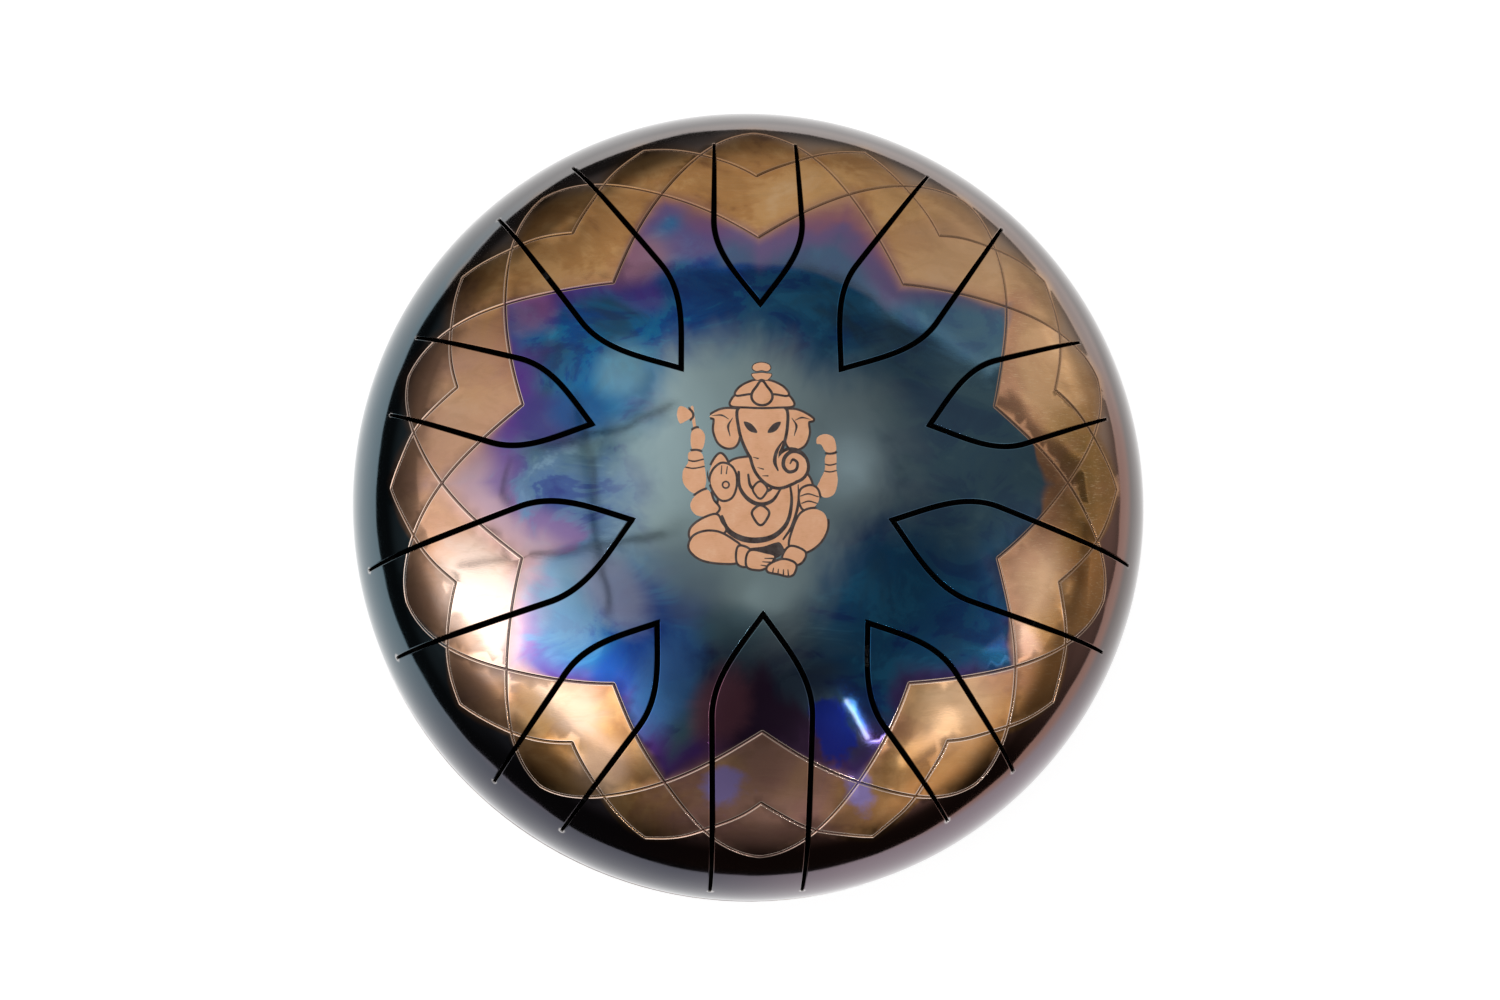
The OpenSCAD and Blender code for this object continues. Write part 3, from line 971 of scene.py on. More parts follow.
    # folded leg on the viewer's left
    put(smooth([(-16.8, -13.8), (-22.0, -15.6), (-25.6, -18.8), (-25.0, -22.2), (-18, -21.4), (-13.6, -19.4), (-15.0, -16.4)]))
    put(smooth([(-24.8, -21.6), (-20.6, -19.8), (-15.6, -20.2), (-10.6, -23.0), (-8.2, -25.4), (-9.0, -30.2), (-15.6, -30.6), (-22.2, -29.2), (-26.0, -25.6)]))
    put(smooth([(-8.6, -25.2), (-4.6, -26.8), (-5.8, -31.6), (-9.0, -30.6)]))
    put(smooth([(-4.6, -26.8), (1.2, -27.6), (3.8, -28.4), (3.2, -29.8), (2.6, -31.2), (0.6, -32.4), (-1.8, -33.0), (-5.6, -31.8)]))
    cut(stroke([(0.6, -29.2), (3.6, -29.2)], [0.35, 0.6]), stroke([(-0.2, -30.4), (3.0, -30.6)], [0.35, 0.6]), stroke([(-0.8, -31.6), (1.8, -32.0)], [0.35, 0.6]))
    # raised knee on the viewer's right
    put(smooth([(13.6, -13.4), (18.4, -11.6), (22.2, -13.6), (22.8, -18.4), (20.0, -23.6), (14.8, -26.8), (9.8, -25.2), (10.6, -19.6)]))
    put(smooth([(9.6, -25.2), (14.8, -27.2), (12.6, -31.0), (7.2, -29.6)]))
    put(smooth([(7.0, -29.8), (11.2, -31.2), (10.8, -34.2), (9.0, -35.2), (5.4, -34.4), (1.8, -33.6), (2.4, -31.6)]))
    cut(stroke([(8.8, -33.2), (9.0, -35.4)], [0.35, 0.6]), stroke([(7.2, -33.2), (7.2, -35.2)], [0.35, 0.6]), stroke([(5.4, -33.0), (5.2, -34.9)], [0.35, 0.6]), stroke([(3.7, -32.6), (3.3, -34.4)], [0.35, 0.6]))
    # head with the trunk, curled to the viewer's right
    head = smooth([(-8.2, 22.6), (-4, 23.2), (0, 23.2), (4, 23.2), (8.2, 22.6), (8.4, 16.6), (7.2, 11.2), (4.6, 6.6), (1.0, 3.4), (-3.4, 6.2), (-6.6, 11.4), (-8.0, 16.6)])
    trunk = stroke([(0.4, 14.0), (0.8, 8.0), (1.9, 3.0), (5.2, -0.4), (9.8, 0.2)], [12.0, 9.8, 8.2, 6.6, 5.0])
    curl = oval(10.3, 3.6, 5.5, 5.2)
    put(head, trunk, curl, gap=1.15)
    cut(stroke([(7.2, 11.6), (5.0, 8.4), (4.3, 5.2), (5.4, 2.2)], [0.4, 1.2, 1.4, 0.6]))
    cut(stroke([(15.9, 5.8), (13.4, 8.0), (10.4, 8.4), (7.9, 6.6), (7.4, 3.8), (9.2, 1.7), (11.8, 2.4), (12.4, 4.8), (10.8, 5.9), (9.8, 4.6)],
               [0.5, 1.0, 1.2, 1.35, 1.35, 1.25, 1.1, 1.0, 0.9, 0.5]))
    cut(smooth([(-6.6, 18.2), (-4.2, 17.6), (-2.2, 15.4), (-2.0, 14.2), (-4.2, 14.6), (-5.8, 16.0)]))
    cut(smooth([(6.6, 18.2), (4.2, 17.6), (2.2, 15.4), (2.0, 14.2), (4.2, 14.6), (5.8, 16.0)]))
    cut(stroke([(-3.4, 6.6), (-1.6, 6.2)], [0.2, 0.5]), stroke([(-1.8, 3.2), (0.2, 2.6)], [0.2, 0.5]), stroke([(-0.2, 0.2), (1.8, 0.2)], [0.2, 0.5]))
    # crown: band, cap, drop jewel and finial
    put(smooth([(-10.8, 24.2), (-10.6, 26.2), (-8.8, 27.8), (-4, 28.2), (0, 28.2), (4, 28.2), (8.8, 27.8), (10.6, 26.2), (10.8, 24.2), (5.4, 23.8), (0, 23.6), (-5.4, 23.8)]))
    put(smooth([(-9.2, 28.2), (-7.6, 30.8), (-3.8, 32.8), (0, 33.4), (3.8, 32.8), (7.6, 30.8), (9.2, 28.2), (4.6, 28.7), (0, 28.8), (-4.6, 28.7)]))
    put(smooth([(0, 32.8), (1.5, 30.9), (3.0, 28.8), (3.2, 26.8), (1.9, 25.2), (0, 24.7), (-1.9, 25.2), (-3.2, 26.8), (-3.0, 28.8), (-1.5, 30.9)]), gap=0.95)
    put(smooth([(-1.9, 33.6), (-3.5, 35.6), (-1.6, 36.0), (0, 36.2), (1.6, 36.0), (3.5, 35.6), (1.9, 33.6), (0, 34.0)]), gap=0.35)
    put(smooth([(-2.0, 36.9), (-3.2, 38.0), (-2.4, 39.4), (0, 40.0), (2.4, 39.4), (3.2, 38.0), (2.0, 36.9), (0, 37.2)]), gap=0.35)
    # the head and the raised hands sit a little higher than the strokes above say
    for _, outs, _ in L:
        for o in outs:
            k = np.clip((o[:, 1] - 3.0) / 13.0, 0, 1)
            o[:, 1] += 1.6 * k * k * (3 - 2 * k)
    return L


def to_outline(pts, poly):
    """Distance of each point from a closed outline."""
    a, b = poly, np.roll(poly, -1, axis=0)
    best = np.full(len(pts), np.inf)
    for p, q in zip(a, b):
        e = q - p
        t = np.clip(((pts - p) @ e) / max(float(e @ e), 1e-12), 0, 1)
        best = np.minimum(best, np.linalg.norm(pts - (p + t[:, None] * e), axis=1))
    return best


def emblem_pieces():
    """Copper patches, and the dark lines that part and edge them."""
    layers = figure()
    s = Sheet()
    for kind, outs, gap in layers:
        for o in outs:
            s.link(s.add(o), True)
            if gap > 0:
                t = unit(np.roll(o, -1, axis=0) - np.roll(o, 1, axis=0))
                nn = np.column_stack([t[:, 1], -t[:, 0]])
                if (o[:, 0] * np.roll(o[:, 1], -1) - np.roll(o[:, 0], -1) * o[:, 1]).sum() < 0:
                    nn = -nn
                s.link(s.add(o + nn * gap), True)
    tree = kdtree.KDTree(len(s.pts))
    for i, p in enumerate(s.pts):
        tree.insert((p[0], p[1], 0.0), i)
    tree.balance()
    for j, y in enumerate(np.arange(-38, 43, 2.6)):
        for x in np.arange(-34 + 1.5 * (j % 2), 32, 3.0):
            if tree.find((x, y, 0.0))[2] > 0.7:
                s.pts.append((x, y))
    plan, tris = triangulate(s.pts, s.edges)
    cen = plan[tris].mean(1)
    on, ever, was = np.zeros(len(cen), bool), np.zeros(len(cen), bool), np.zeros(len(cen), bool)
    beside = np.zeros(len(cen), int)
    for kind, outs, gap in layers:
        within = np.zeros(len(cen), bool)
        close = np.zeros(len(cen), bool)
        for o in outs:
            within |= inside(cen, o)
            if gap > 0:
                lo, hi = o.min(0) - gap - 0.1, o.max(0) + gap + 0.1
                sub = np.nonzero(((cen > lo) & (cen < hi)).all(1))[0]
                close[sub] |= to_outline(cen[sub], o) < gap
        ever |= within | close
        beside += close
        if kind == "put":
            was |= within
            on[close] = False
            on[within] = True
        else:
            on[within] = False
    # the arms have no dark outer edge
    bare = ~was & (beside < 2) & (np.abs(cen[:, 0]) > 18.6) & (cen[:, 1] > -15.0)
    dark = ever & ~on
    for _ in range(12):
        # no two parts of the lines may touch in a single point
        starts = np.bincount([int(a) for a, b in boundary_edges(tris[dark & ~bare])], minlength=len(plan))
        knots = np.nonzero(starts > 1)[0]
        if not len(knots):
            break
        bare &= ~np.isin(tris, knots).any(1)
    return emblem_mesh("centre_figure_inlay", plan, tris[on], 0.06), emblem_mesh("centre_figure_lines", plan, tris[dark & ~bare], 0.03)


def emblem_mesh(name, plan, tris, proud):
    uv = unroll(plan)
    top, nrm = on_dome(uv, proud)
    low, _ = on_dome(uv, -0.05)
    used = np.unique(tris)
    idx = {int(v): i for i, v in enumerate(used)}
    n = len(used)
    faces, normals = [], []
    for t in tris:
        faces.append([idx[int(v)] for v in t])
        normals += [nrm[v] for v in t]
    for t in tris:
        faces.append([idx[int(v)] + n for v in t[::-1]])
        normals += [-nrm[v] for v in t[::-1]]
    for a, b in boundary_edges(tris):
        a, b = int(a), int(b)
        faces.append([idx[b], idx[a], idx[a] + n, idx[b] + n])
        d = top[b] - top[a]
        w = unit(np.cross(d, nrm[a]))
        normals += [w] * 4
    return make_mesh(name, np.vstack([top[used], low[used]]), faces, normals)


emblem, emblem_lines = emblem_pieces()
for ob in (emblem, emblem_lines):
    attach(ob, "drum_body")
print("emblem", len(emblem.data.polygons), len(emblem_lines.data.polygons))


# ---------------------------------------------------------------------------------------------
# Materials
# ---------------------------------------------------------------------------------------------
class Mat:
    """Small node builder around one Principled shader."""

    def __init__(self, name, **values):
        self.m = bpy.data.materials.new(name)
        self.m.use_nodes = True
        self.t = self.m.node_tree
        self.t.nodes.clear()
        self.out = self.t.nodes.new("ShaderNodeOutputMaterial")
        self.b = self.t.nodes.new("ShaderNodeBsdfPrincipled")
        self.t.links.new(self.b.outputs[0], self.out.inputs[0])
        for k, v in values.items():
            self.set(k.replace("_", " "), v)

    def set(self, name, v):
        i = self.b.inputs[name]
        if isinstance(v, bpy.types.NodeSocket):
            self.t.links.new(v, i)
        else:
            i.default_value = v

    def put(self, socket, v):
        if isinstance(v, bpy.types.NodeSocket):
            self.t.links.new(v, socket)
        elif v is not None:
            if socket.type == "RGBA" and len(v) == 3:
                v = (*v, 1.0)
            socket.default_value = v

    def math(self, op, a, b=None, c=None, clamp=False):
        n = self.t.nodes.new("ShaderNodeMath")
        n.operation, n.use_clamp = op, clamp
        for s, v in zip(n.inputs, (a, b, c)):
            self.put(s, v)
        return n.outputs[0]

    def add(self, a, b):
        return self.math("ADD", a, b)

    def mul(self, a, b):
        return self.math("MULTIPLY", a, b)

    def step(self, v, lo, hi, a=0.0, b=1.0):
        """Smooth step of v from lo to hi, giving a to b."""
        n = self.t.nodes.new("ShaderNodeMapRange")
        n.interpolation_type = "SMOOTHSTEP"
        for s, x in zip(n.inputs[:5], (v, lo, hi, a, b)):
            self.put(s, x)
        return n.outputs[0]

    def mix(self, f, a, b, blend="MIX"):
        n = self.t.nodes.new("ShaderNodeMix")
        n.data_type, n.blend_type = "RGBA", blend
        self.put(n.inputs[0], f)
        self.put(n.inputs[6], a)
        self.put(n.inputs[7], b)
        return n.outputs[2]

    def ramp(self, f, stops, mode="EASE"):
        n = self.t.nodes.new("ShaderNodeValToRGB")
        n.color_ramp.interpolation = mode
        el = n.color_ramp.elements
        while len(el) < len(stops):
            el.new(0.5)
        for e, (p, c) in zip(el, stops):
            e.position = p
            e.color = (*c, 1.0) if len(c) == 3 else c
        self.put(n.inputs[0], f)
        return n.outputs[0]

    def place(self):
        """Object position in millimetres and its parts."""
        tc = self.t.nodes.new("ShaderNodeTexCoord")
        sc = self.t.nodes.new("ShaderNodeVectorMath")
        sc.operation = "SCALE"
        self.t.links.new(tc.outputs["Object"], sc.inputs[0])
        sc.inputs["Scale"].default_value = 1000.0
        sp = self.t.nodes.new("ShaderNodeSeparateXYZ")
        self.t.links.new(sc.outputs[0], sp.inputs[0])
        return sc.outputs[0], sp.outputs[0], sp.outputs[1], sp.outputs[2]

    def scaled(self, vec, xyz, turn_z=0.0):
        n = self.t.nodes.new("ShaderNodeMapping")
        self.t.links.new(vec, n.inputs[0])
        n.inputs["Rotation"].default_value = (0, 0, turn_z)
        n.inputs["Scale"].default_value = xyz
        return n.outputs[0]

    def noise(self, vec, scale, detail=2.0, rough=0.5, distort=0.0, color=False):
        n = self.t.nodes.new("ShaderNodeTexNoise")
        self.put(n.inputs["Vector"], vec)
        n.inputs["Scale"].default_value = scale
        n.inputs["Detail"].default_value = detail
        n.inputs["Roughness"].default_value = rough
        n.inputs["Distortion"].default_value = distort
        return n.outputs[1] if color else n.outputs[0]

    def mark(self, name):
        n = self.t.nodes.new("ShaderNodeAttribute")
        n.attribute_name = name
        return n.outputs["Fac"]

    def voronoi(self, vec, scale, feature="F1"):
        n = self.t.nodes.new("ShaderNodeTexVoronoi")
        n.feature = feature
        self.put(n.inputs["Vector"], vec)
        n.inputs["Scale"].default_value = scale
        return n.outputs[0]

    def bump(self, h, strength, distance, normal=None):
        n = self.t.nodes.new("ShaderNodeBump")
        n.inputs["Strength"].default_value = strength
        n.inputs["Distance"].default_value = distance
        self.put(n.inputs["Height"], h)
        if normal is not None:
            self.put(n.inputs["Normal"], normal)
        return n.outputs[0]


def centred(m, v, amount):
    return m.mul(m.math("SUBTRACT", v, 0.5), amount)


def smoky_tint_and_shade(m, x, y, big):
    """Smoky tint of the rim: blue-grey on the left, brown-grey on the right, dark violet in front, paler behind; the
    skirt below carries painted shade.
    """
    c = m.mix(m.step(m.add(x, centred(m, big, 120.0)), -120.0, 110.0), (0.075, 0.122, 0.15), (0.21, 0.16, 0.148))
    c = m.mix(m.mul(m.step(m.add(y, centred(m, big, 60.0)), -50.0, -135.0), 0.85), c, (0.095, 0.058, 0.075))
    c = m.mix(m.mul(m.step(m.math("SUBTRACT", x, y), 60.0, 130.0), 0.85), c, (0.18, 0.078, 0.056))
    c = m.mix(m.mul(m.step(y, 60.0, 140.0), 0.7), c, (0.26, 0.22, 0.205))
    r = m.math("SQRT", m.add(m.mul(x, x), m.mul(y, y)))
    c = m.mix(m.mul(m.mul(m.mul(m.step(y, 55.0, 110.0), m.step(x, 30.0, -40.0)), m.step(r, 138.0, 133.0)), 0.75), c, (0.46, 0.37, 0.36))
    bright = m.mul(m.step(m.add(m.add(x, y), centred(m, big, 60.0)), 105.0, 165.0), m.step(r, 137.0, 129.0))
    c = m.mix(m.mul(bright, 0.85), c, (0.50, 0.34, 0.235))
    # the skirt below it is paler and bluer in front; elsewhere it is darker than the rim above, painted shade of the
    # dim floor beside the drum that it mirrors
    skirt = m.mix(m.step(x, -120.0, 120.0), (0.068, 0.112, 0.138), (0.084, 0.062, 0.058))
    skirt = m.mix(m.step(y, -40.0, -115.0), skirt, m.mix(m.step(x, -35.0, 45.0), (0.046, 0.047, 0.066), (0.165, 0.122, 0.146)))
    skirt = m.mix(m.mul(m.step(y, 30.0, 130.0), 0.8), skirt, (0.150, 0.130, 0.125))
    return m.mix(m.step(r, 138.0, 141.0), c, skirt)


def tinted_top():
    m = Mat("heat_tinted_steel", Metallic=1.0, Coat_Weight=0.3, Coat_Roughness=0.03, Coat_IOR=1.5)
    p, x, y, z = m.place()
    r = m.math("SQRT", m.add(m.mul(x, x), m.mul(y, y)))
    ang = m.add(m.mul(m.math("ARCTAN2", y, x), 180 / math.pi), 270.0)
    t = m.math("DIVIDE", m.math("PINGPONG", ang, 18.0), 18.0)
    big = m.noise(p, 0.011, 2.0, 0.5, 0.4)
    mid = m.noise(p, 0.030, 3.0, 0.55, 0.8)
    small = m.noise(p, 0.11, 3.0, 0.6)
    torch = m.noise(m.scaled(p, (1, 1, 1), 0.9), 0.019, 4.0, 0.6, 0.9)
    patch = m.noise(m.scaled(p, (1.0, 1.5, 1.0), 2.1), 0.034, 5.0, 0.62, 0.7)
    wander = m.add(centred(m, big, 34.0), centred(m, mid, 30.0))

    def sector(bearing, half, soft):
        """Share of the sheet round one bearing in degrees, with an uneven edge."""
        a = math.radians(bearing)
        c = m.add(m.mul(x, math.cos(a)), m.mul(y, math.sin(a)))
        c = m.math("DIVIDE", c, m.math("MAXIMUM", r, 1.0))
        off = m.mul(m.math("ARCCOSINE", m.math("MINIMUM", m.math("MAXIMUM", c, -1.0), 1.0)), 180 / math.pi)
        return m.step(m.add(off, wander), half + soft, half - soft)

    def blot(bearing, radius, across, along, edge=0.35, uneven=1.6, ragged=0.0):
        """One torch mark: an oval at a bearing and radius, with an uneven edge."""
        a = math.radians(bearing)
        u = m.math("SUBTRACT", m.add(m.mul(x, math.cos(a)), m.mul(y, math.sin(a))), radius)
        v = m.math("SUBTRACT", m.mul(y, math.cos(a)), m.mul(x, math.sin(a)))
        u, v = m.mul(u, 1.0 / along), m.mul(v, 1.0 / across)
        d = m.math("SQRT", m.add(m.mul(u, u), m.mul(v, v)))
        d = m.add(d, centred(m, patch, uneven))
        if ragged:
            d = m.add(d, centred(m, small, ragged))
        return m.step(d, 1.0 + edge, 1.0 - edge)

    left, left_gold, front, right = sector(193, 23, 9), sector(186, 31, 13), sector(270, 15, 7), sector(18, 46, 22)
    front_right = sector(316, 26, 14)
    rear, rear_left = sector(82, 34, 18), sector(134, 24, 12)
    # radius of the flower outline at this bearing; the colour runs less cleanly at the lobe tips
    rb = m.add(90.0, m.mul(t, m.add(18.1, m.mul(t, m.add(6.17, m.mul(t, -0.86))))))
    f = m.math("SUBTRACT", r, rb)
    tip = m.step(t, 0.5, 1.0)
    f = m.add(f, m.mul(tip, m.add(1.0, centred(m, mid, 14.0))))
    f = m.add(f, m.mul(blot(1, 112, 13.0, 12.0, 0.5, 0.6), 8.0))
    soft = m.add(m.add(0.5, m.mul(tip, 2.4)), m.mul(m.step(big, 0.45, 0.62), 2.4))
    soft = m.add(soft, m.add(m.mul(left, 7.0), m.mul(rear, 4.5)))
    spread = m.add(m.add(m.mul(left, 16.0), m.mul(front, 16.0)), m.mul(rear, 8.0))
    spread = m.math("SUBTRACT", spread, m.mul(right, 5.0))
    fi = m.add(m.add(f, spread), m.add(centred(m, big, 26.0), centred(m, mid, 26.0)))
    # inside of the flower: bare grey middle, then blue that changes round the drum
    blue = m.mix(rear, (0.070, 0.150, 0.205), (0.010, 0.098, 0.225))
    blue = m.mix(front_right, blue, (0.006, 0.080, 0.19))
    blue = m.mix(rear_left, blue, (0.006, 0.155, 0.35))
    blue = m.mix(left, blue, (0.105, 0.20, 0.34))
    blue = m.mix(sector(230, 18, 8), blue, (0.012, 0.135, 0.37))
    blue = m.mix(front, blue, (0.030, 0.060, 0.115))
    shade = m.ramp(patch, [(0.36, (1.7, 1.5, 1.3)), (0.45, (1.0, 1.0, 1.0)), (0.51, (0.85, 0.9, 1.0)), (0.55, (0.5, 0.52, 0.85)), (0.66, (0.35, 0.3, 0.7))])
    shade = m.mix(m.mul(right, 0.6), shade, (0.92, 0.92, 0.95))
    blue = m.mix(1.0, blue, shade, "MULTIPLY")
    q = m.add(r, m.add(centred(m, big, 26.0), centred(m, torch, 34.0)))
    q = m.add(q, m.add(m.mul(rear, 7.0), m.add(m.mul(front_right, 11.0), m.mul(front, -5.0))))
    grey = m.mix(m.step(x, -10.0, 34.0), (0.31, 0.43, 0.455), (0.215, 0.30, 0.335))
    inner = m.mix(m.step(q, 38.0, 66.0), grey, blue)
    inner = m.mix(m.mul(m.step(torch, 0.56, 0.70), m.step(r, 42.0, 66.0, 0.12, 0.6)), inner, (0.020, 0.040, 0.06))
    # slate-blue band round the lobe behind on the right: a painted reflection of a pale panel, laid into the tint
    veil_reflection = m.mul(m.step(m.add(r, m.add(centred(m, big, 8.0), centred(m, mid, 5.0))), 77.0, 79.5), sector(72, 23, 4))
    inner = m.mix(m.mul(veil_reflection, 0.7), inner, (0.088, 0.128, 0.205))
    violet = m.mix(left, (0.105, 0.030, 0.25), m.mix(m.step(patch, 0.42, 0.54), (0.15, 0.26, 0.46), (0.26, 0.17, 0.37)))
    violet = m.mix(m.mul(rear, 0.75), violet, (0.16, 0.115, 0.20))
    violet = m.mix(right, violet, (0.13, 0.065, 0.14))
    violet = m.mix(m.mul(front_right, 0.85), violet, (0.040, 0.022, 0.095))
    violet = m.mix(front, violet, (0.055, 0.018, 0.06))
    inner = m.mix(m.mul(m.step(fi, -13.0, 0.0), m.math("SUBTRACT", 0.92, m.mul(right, 0.35))), inner, violet)
    blush = m.mix(left, (0.26, 0.10, 0.14), (0.52, 0.36, 0.42))
    inner = m.mix(m.mul(m.mul(m.step(fi, -1.0, 9.0), m.math("SUBTRACT", 1.0, front)), 0.85), inner, blush)
    inner = m.mix(m.mul(blot(213, 84, 15.0, 13.0, 0.4), 0.6), inner, (0.20, 0.35, 0.46))
    inner = m.mix(m.mul(blot(234, 84, 8.0, 17.0, 0.3), 0.8), inner, (0.004, 0.060, 0.36))
    inner = m.mix(m.mul(blot(244, 80, 12.0, 22.0, 0.4), 0.75), inner, (0.045, 0.16, 0.42))
    inner = m.mix(m.mul(blot(219, 66, 15.0, 9.0, 0.5, 0.9), 0.85), inner, (0.25, 0.28, 0.42))
    inner = m.mix(m.mul(blot(164, 80, 9.0, 12.0, 0.45, 1.0), 0.85), inner, (0.050, 0.042, 0.21))
    inner = m.mix(m.mul(blot(159, 69, 8.0, 10.0, 0.5, 0.9), 0.75), inner, (0.010, 0.085, 0.26))
    inner = m.mix(m.mul(blot(121, 80, 6.0, 8.0, 0.5), 0.65), inner, (0.10, 0.035, 0.27))
    inner = m.mix(m.mul(blot(118, 92, 13.0, 8.0, 0.5, 0.5), 0.8), inner, (0.30, 0.14, 0.18))
    inner = m.mix(m.mul(blot(100, 101, 9.0, 7.0, 0.5, 0.6), 0.7), inner, (0.22, 0.095, 0.10))
    inner = m.mix(m.mul(blot(232, 42, 15.0, 9.0, 0.6, 0.8), 0.5), inner, (0.15, 0.23, 0.30))
    inner = m.mix(m.mul(blot(258, 55, 13.0, 8.0, 0.5, 0.8), 0.6), inner, (0.065, 0.16, 0.21))
    inner = m.mix(m.mul(blot(141, 63, 10.0, 9.0, 0.6, 0.8), 0.5), inner, (0.24, 0.44, 0.52))
    inner = m.mix(m.mul(blot(104, 92, 11.0, 8.0, 0.5, 0.9), 0.7), inner, (0.14, 0.065, 0.19))
    inner = m.mix(m.mul(blot(142, 104, 9.0, 8.0, 0.5), 0.7), inner, (0.27, 0.10, 0.24))
    inner = m.mix(m.mul(blot(260, 84, 9.0, 14.0, 0.5), 0.85), inner, (0.25, 0.085, 0.13))
    # between flower and rim: straw gold to bronze
    gold = m.ramp(m.add(m.mul(mid, 0.45), m.mul(patch, 0.55)),
                  [(0.34, (0.27, 0.115, 0.038)), (0.45, (0.46, 0.225, 0.075)), (0.54, (0.58, 0.32, 0.125)), (0.68, (0.64, 0.40, 0.20))])
    gold = m.mix(m.mul(left_gold, 0.65), gold, (0.64, 0.37, 0.275))
    # pale pink gold on the left where the window's glare falls: partly tint, partly a painted highlight
    gold = m.mix(m.mul(blot(203, 107, 24.0, 13.0, 0.5), 0.8), gold, (0.72, 0.58, 0.51))
    gold = m.mix(m.mul(blot(228, 104, 15.0, 10.0, 0.5), 0.65), gold, (0.70, 0.53, 0.42))
    gold = m.mix(m.mul(front, 0.7), gold, (0.44, 0.225, 0.215))
    # small pale pink spot at front right where the pale corner of the rear panel shows: a painted reflection
    gold = m.mix(m.mul(blot(329, 110, 6.0, 9.0, 0.5), 0.6), gold, (0.62, 0.47, 0.42))
    gold = m.mix(m.mul(sector(40, 26, 12), 0.6), gold, (0.60, 0.37, 0.22))
    # paler, less orange gold at front right: partly tint, partly a painted highlight
    gold = m.mix(m.mul(blot(312, 107, 20.0, 13.0, 0.6, 0.6), 0.55), gold, (0.68, 0.45, 0.29))
    gold = m.mix(m.mul(blot(341, 105, 17.0, 12.0, 0.5, 0.8), 0.7), gold, (0.66, 0.42, 0.27))
    gold = m.mix(m.mul(blot(241, 117, 9.0, 10.0, 0.5, 0.8), 0.6), gold, (0.68, 0.46, 0.34))
    gold = m.mix(m.mul(m.mul(sector(332, 40, 14), m.step(r, 108.0, 126.0)), 0.75), gold, (0.38, 0.165, 0.05))
    dull = blot(3, 118, 22.0, 15.0, 0.6, 0.6)
    gold = m.mix(m.mul(dull, 0.75), gold, (0.25, 0.135, 0.034))
    stain = m.mul(m.step(m.noise(m.scaled(p, (1.0, 2.2, 1.0), 1.2), 0.05, 5.0, 0.65, 1.2), 0.47, 0.62), m.add(0.12, m.mul(dull, 0.45)))
    gold = m.mix(stain, gold, (0.26, 0.145, 0.040))
    gold = m.mix(m.mul(m.step(fi, 9.0, -4.0), 0.5), gold, (0.42, 0.19, 0.12))
    scratch = m.noise(m.scaled(p, (0.10, 2.6, 1.0), 0.9), 1.0, 3.0, 0.65)
    gold = m.mix(m.mul(m.step(scratch, 0.57, 0.66), m.add(0.10, m.mul(sector(8, 34, 14), 0.35))), gold, (0.66, 0.46, 0.27))
    for mark in (blot(263, 110, 6.5, 6.0, 0.5, 2.0, 2.0), blot(288, 114, 4.5, 8.0, 0.5, 2.0, 2.0)):
        gold = m.mix(m.mul(mark, 0.9), gold, (0.40, 0.32, 0.78))
    # beyond the lattice the colour turns smoky, cleanly in front and less so behind
    t2 = m.math("DIVIDE", m.math("PINGPONG", ang, 9.0), 9.0)
    fo = m.math("SUBTRACT", r, m.math("SUBTRACT", 134.2, m.mul(m.math("POWER", t2, 1.35), 7.4)))
    blur = m.step(y, -20.0, 60.0, 1.2, 5.0)
    outer = m.mix(m.step(m.add(fo, centred(m, mid, 5.0)), m.mul(blur, -1.0), blur), gold, smoky_tint_and_shade(m, x, y, big))
    col = m.mix(m.step(f, m.mul(soft, -1.0), soft), inner, outer)
    # deep blue patch in front, under the streak of the front strip light: blue tint deepened as a painted reflection
    col = m.mix(m.mul(blot(286, 93, 6.5, 11.0, 0.2, 1.2, 1.6), 0.9), col, (0.005, 0.022, 0.34))
    # engraved lines: dark cut between copper lips. The light lips, lighter in front and on the left, are a painted
    # highlight, and the dark cut is painted shade in the groove
    g = m.mark("groove")
    lips = m.mix(m.step(m.add(y, m.mul(x, 0.6)), -40.0, 80.0), (0.95, 0.74, 0.62), (0.50, 0.29, 0.17))
    col = m.mix(m.mul(m.mul(m.step(g, 0.04, 0.20), m.step(g, 0.66, 0.46)), 0.8), col, lips)
    col = m.mix(m.mul(m.step(g, 0.58, 0.84), 0.55), col, (0.04, 0.025, 0.022))
    # paler rounded cut edges: a painted glint
    col = m.mix(m.mul(m.step(m.mark("rim"), 0.78, 0.98), 0.6), col, (0.50, 0.44, 0.42))
    # bare steel round the ends of the slits, partly grinding marks and partly a painted glint, most of it on the left
    # and in front where the light catches them
    bare = m.step(m.add(m.mark("ends"), centred(m, small, 0.9)), 0.45, 0.8)
    col = m.mix(m.mul(bare, m.step(m.add(x, y), 60.0, -60.0, 0.15, 0.7)), col, (0.60, 0.57, 0.56))
    back = m.step(m.mark("inner"), 0.05, 0.5)
    m.set("Base Color", m.mix(back, col, (0.035, 0.031, 0.03)))
    ro_ = m.add(0.05, m.mul(m.math("ADD", small, mid), 0.035))
    m.set("Roughness", m.add(m.add(ro_, m.mul(g, 0.14)), m.mul(back, 0.4)))
    wave = m.add(m.noise(p, 0.018, 1.0, 0.4), m.mul(m.noise(p, 0.05, 1.0, 0.4), 0.22))
    b = m.bump(wave, 0.27, 0.004)
    fine = m.noise(m.scaled(p, (0.5, 4.0, 1.0), 0.6), 1.0, 2.0, 0.5)
    b = m.bump(fine, 0.03, 0.0001, b)
    m.set("Normal", b)
    return m.m


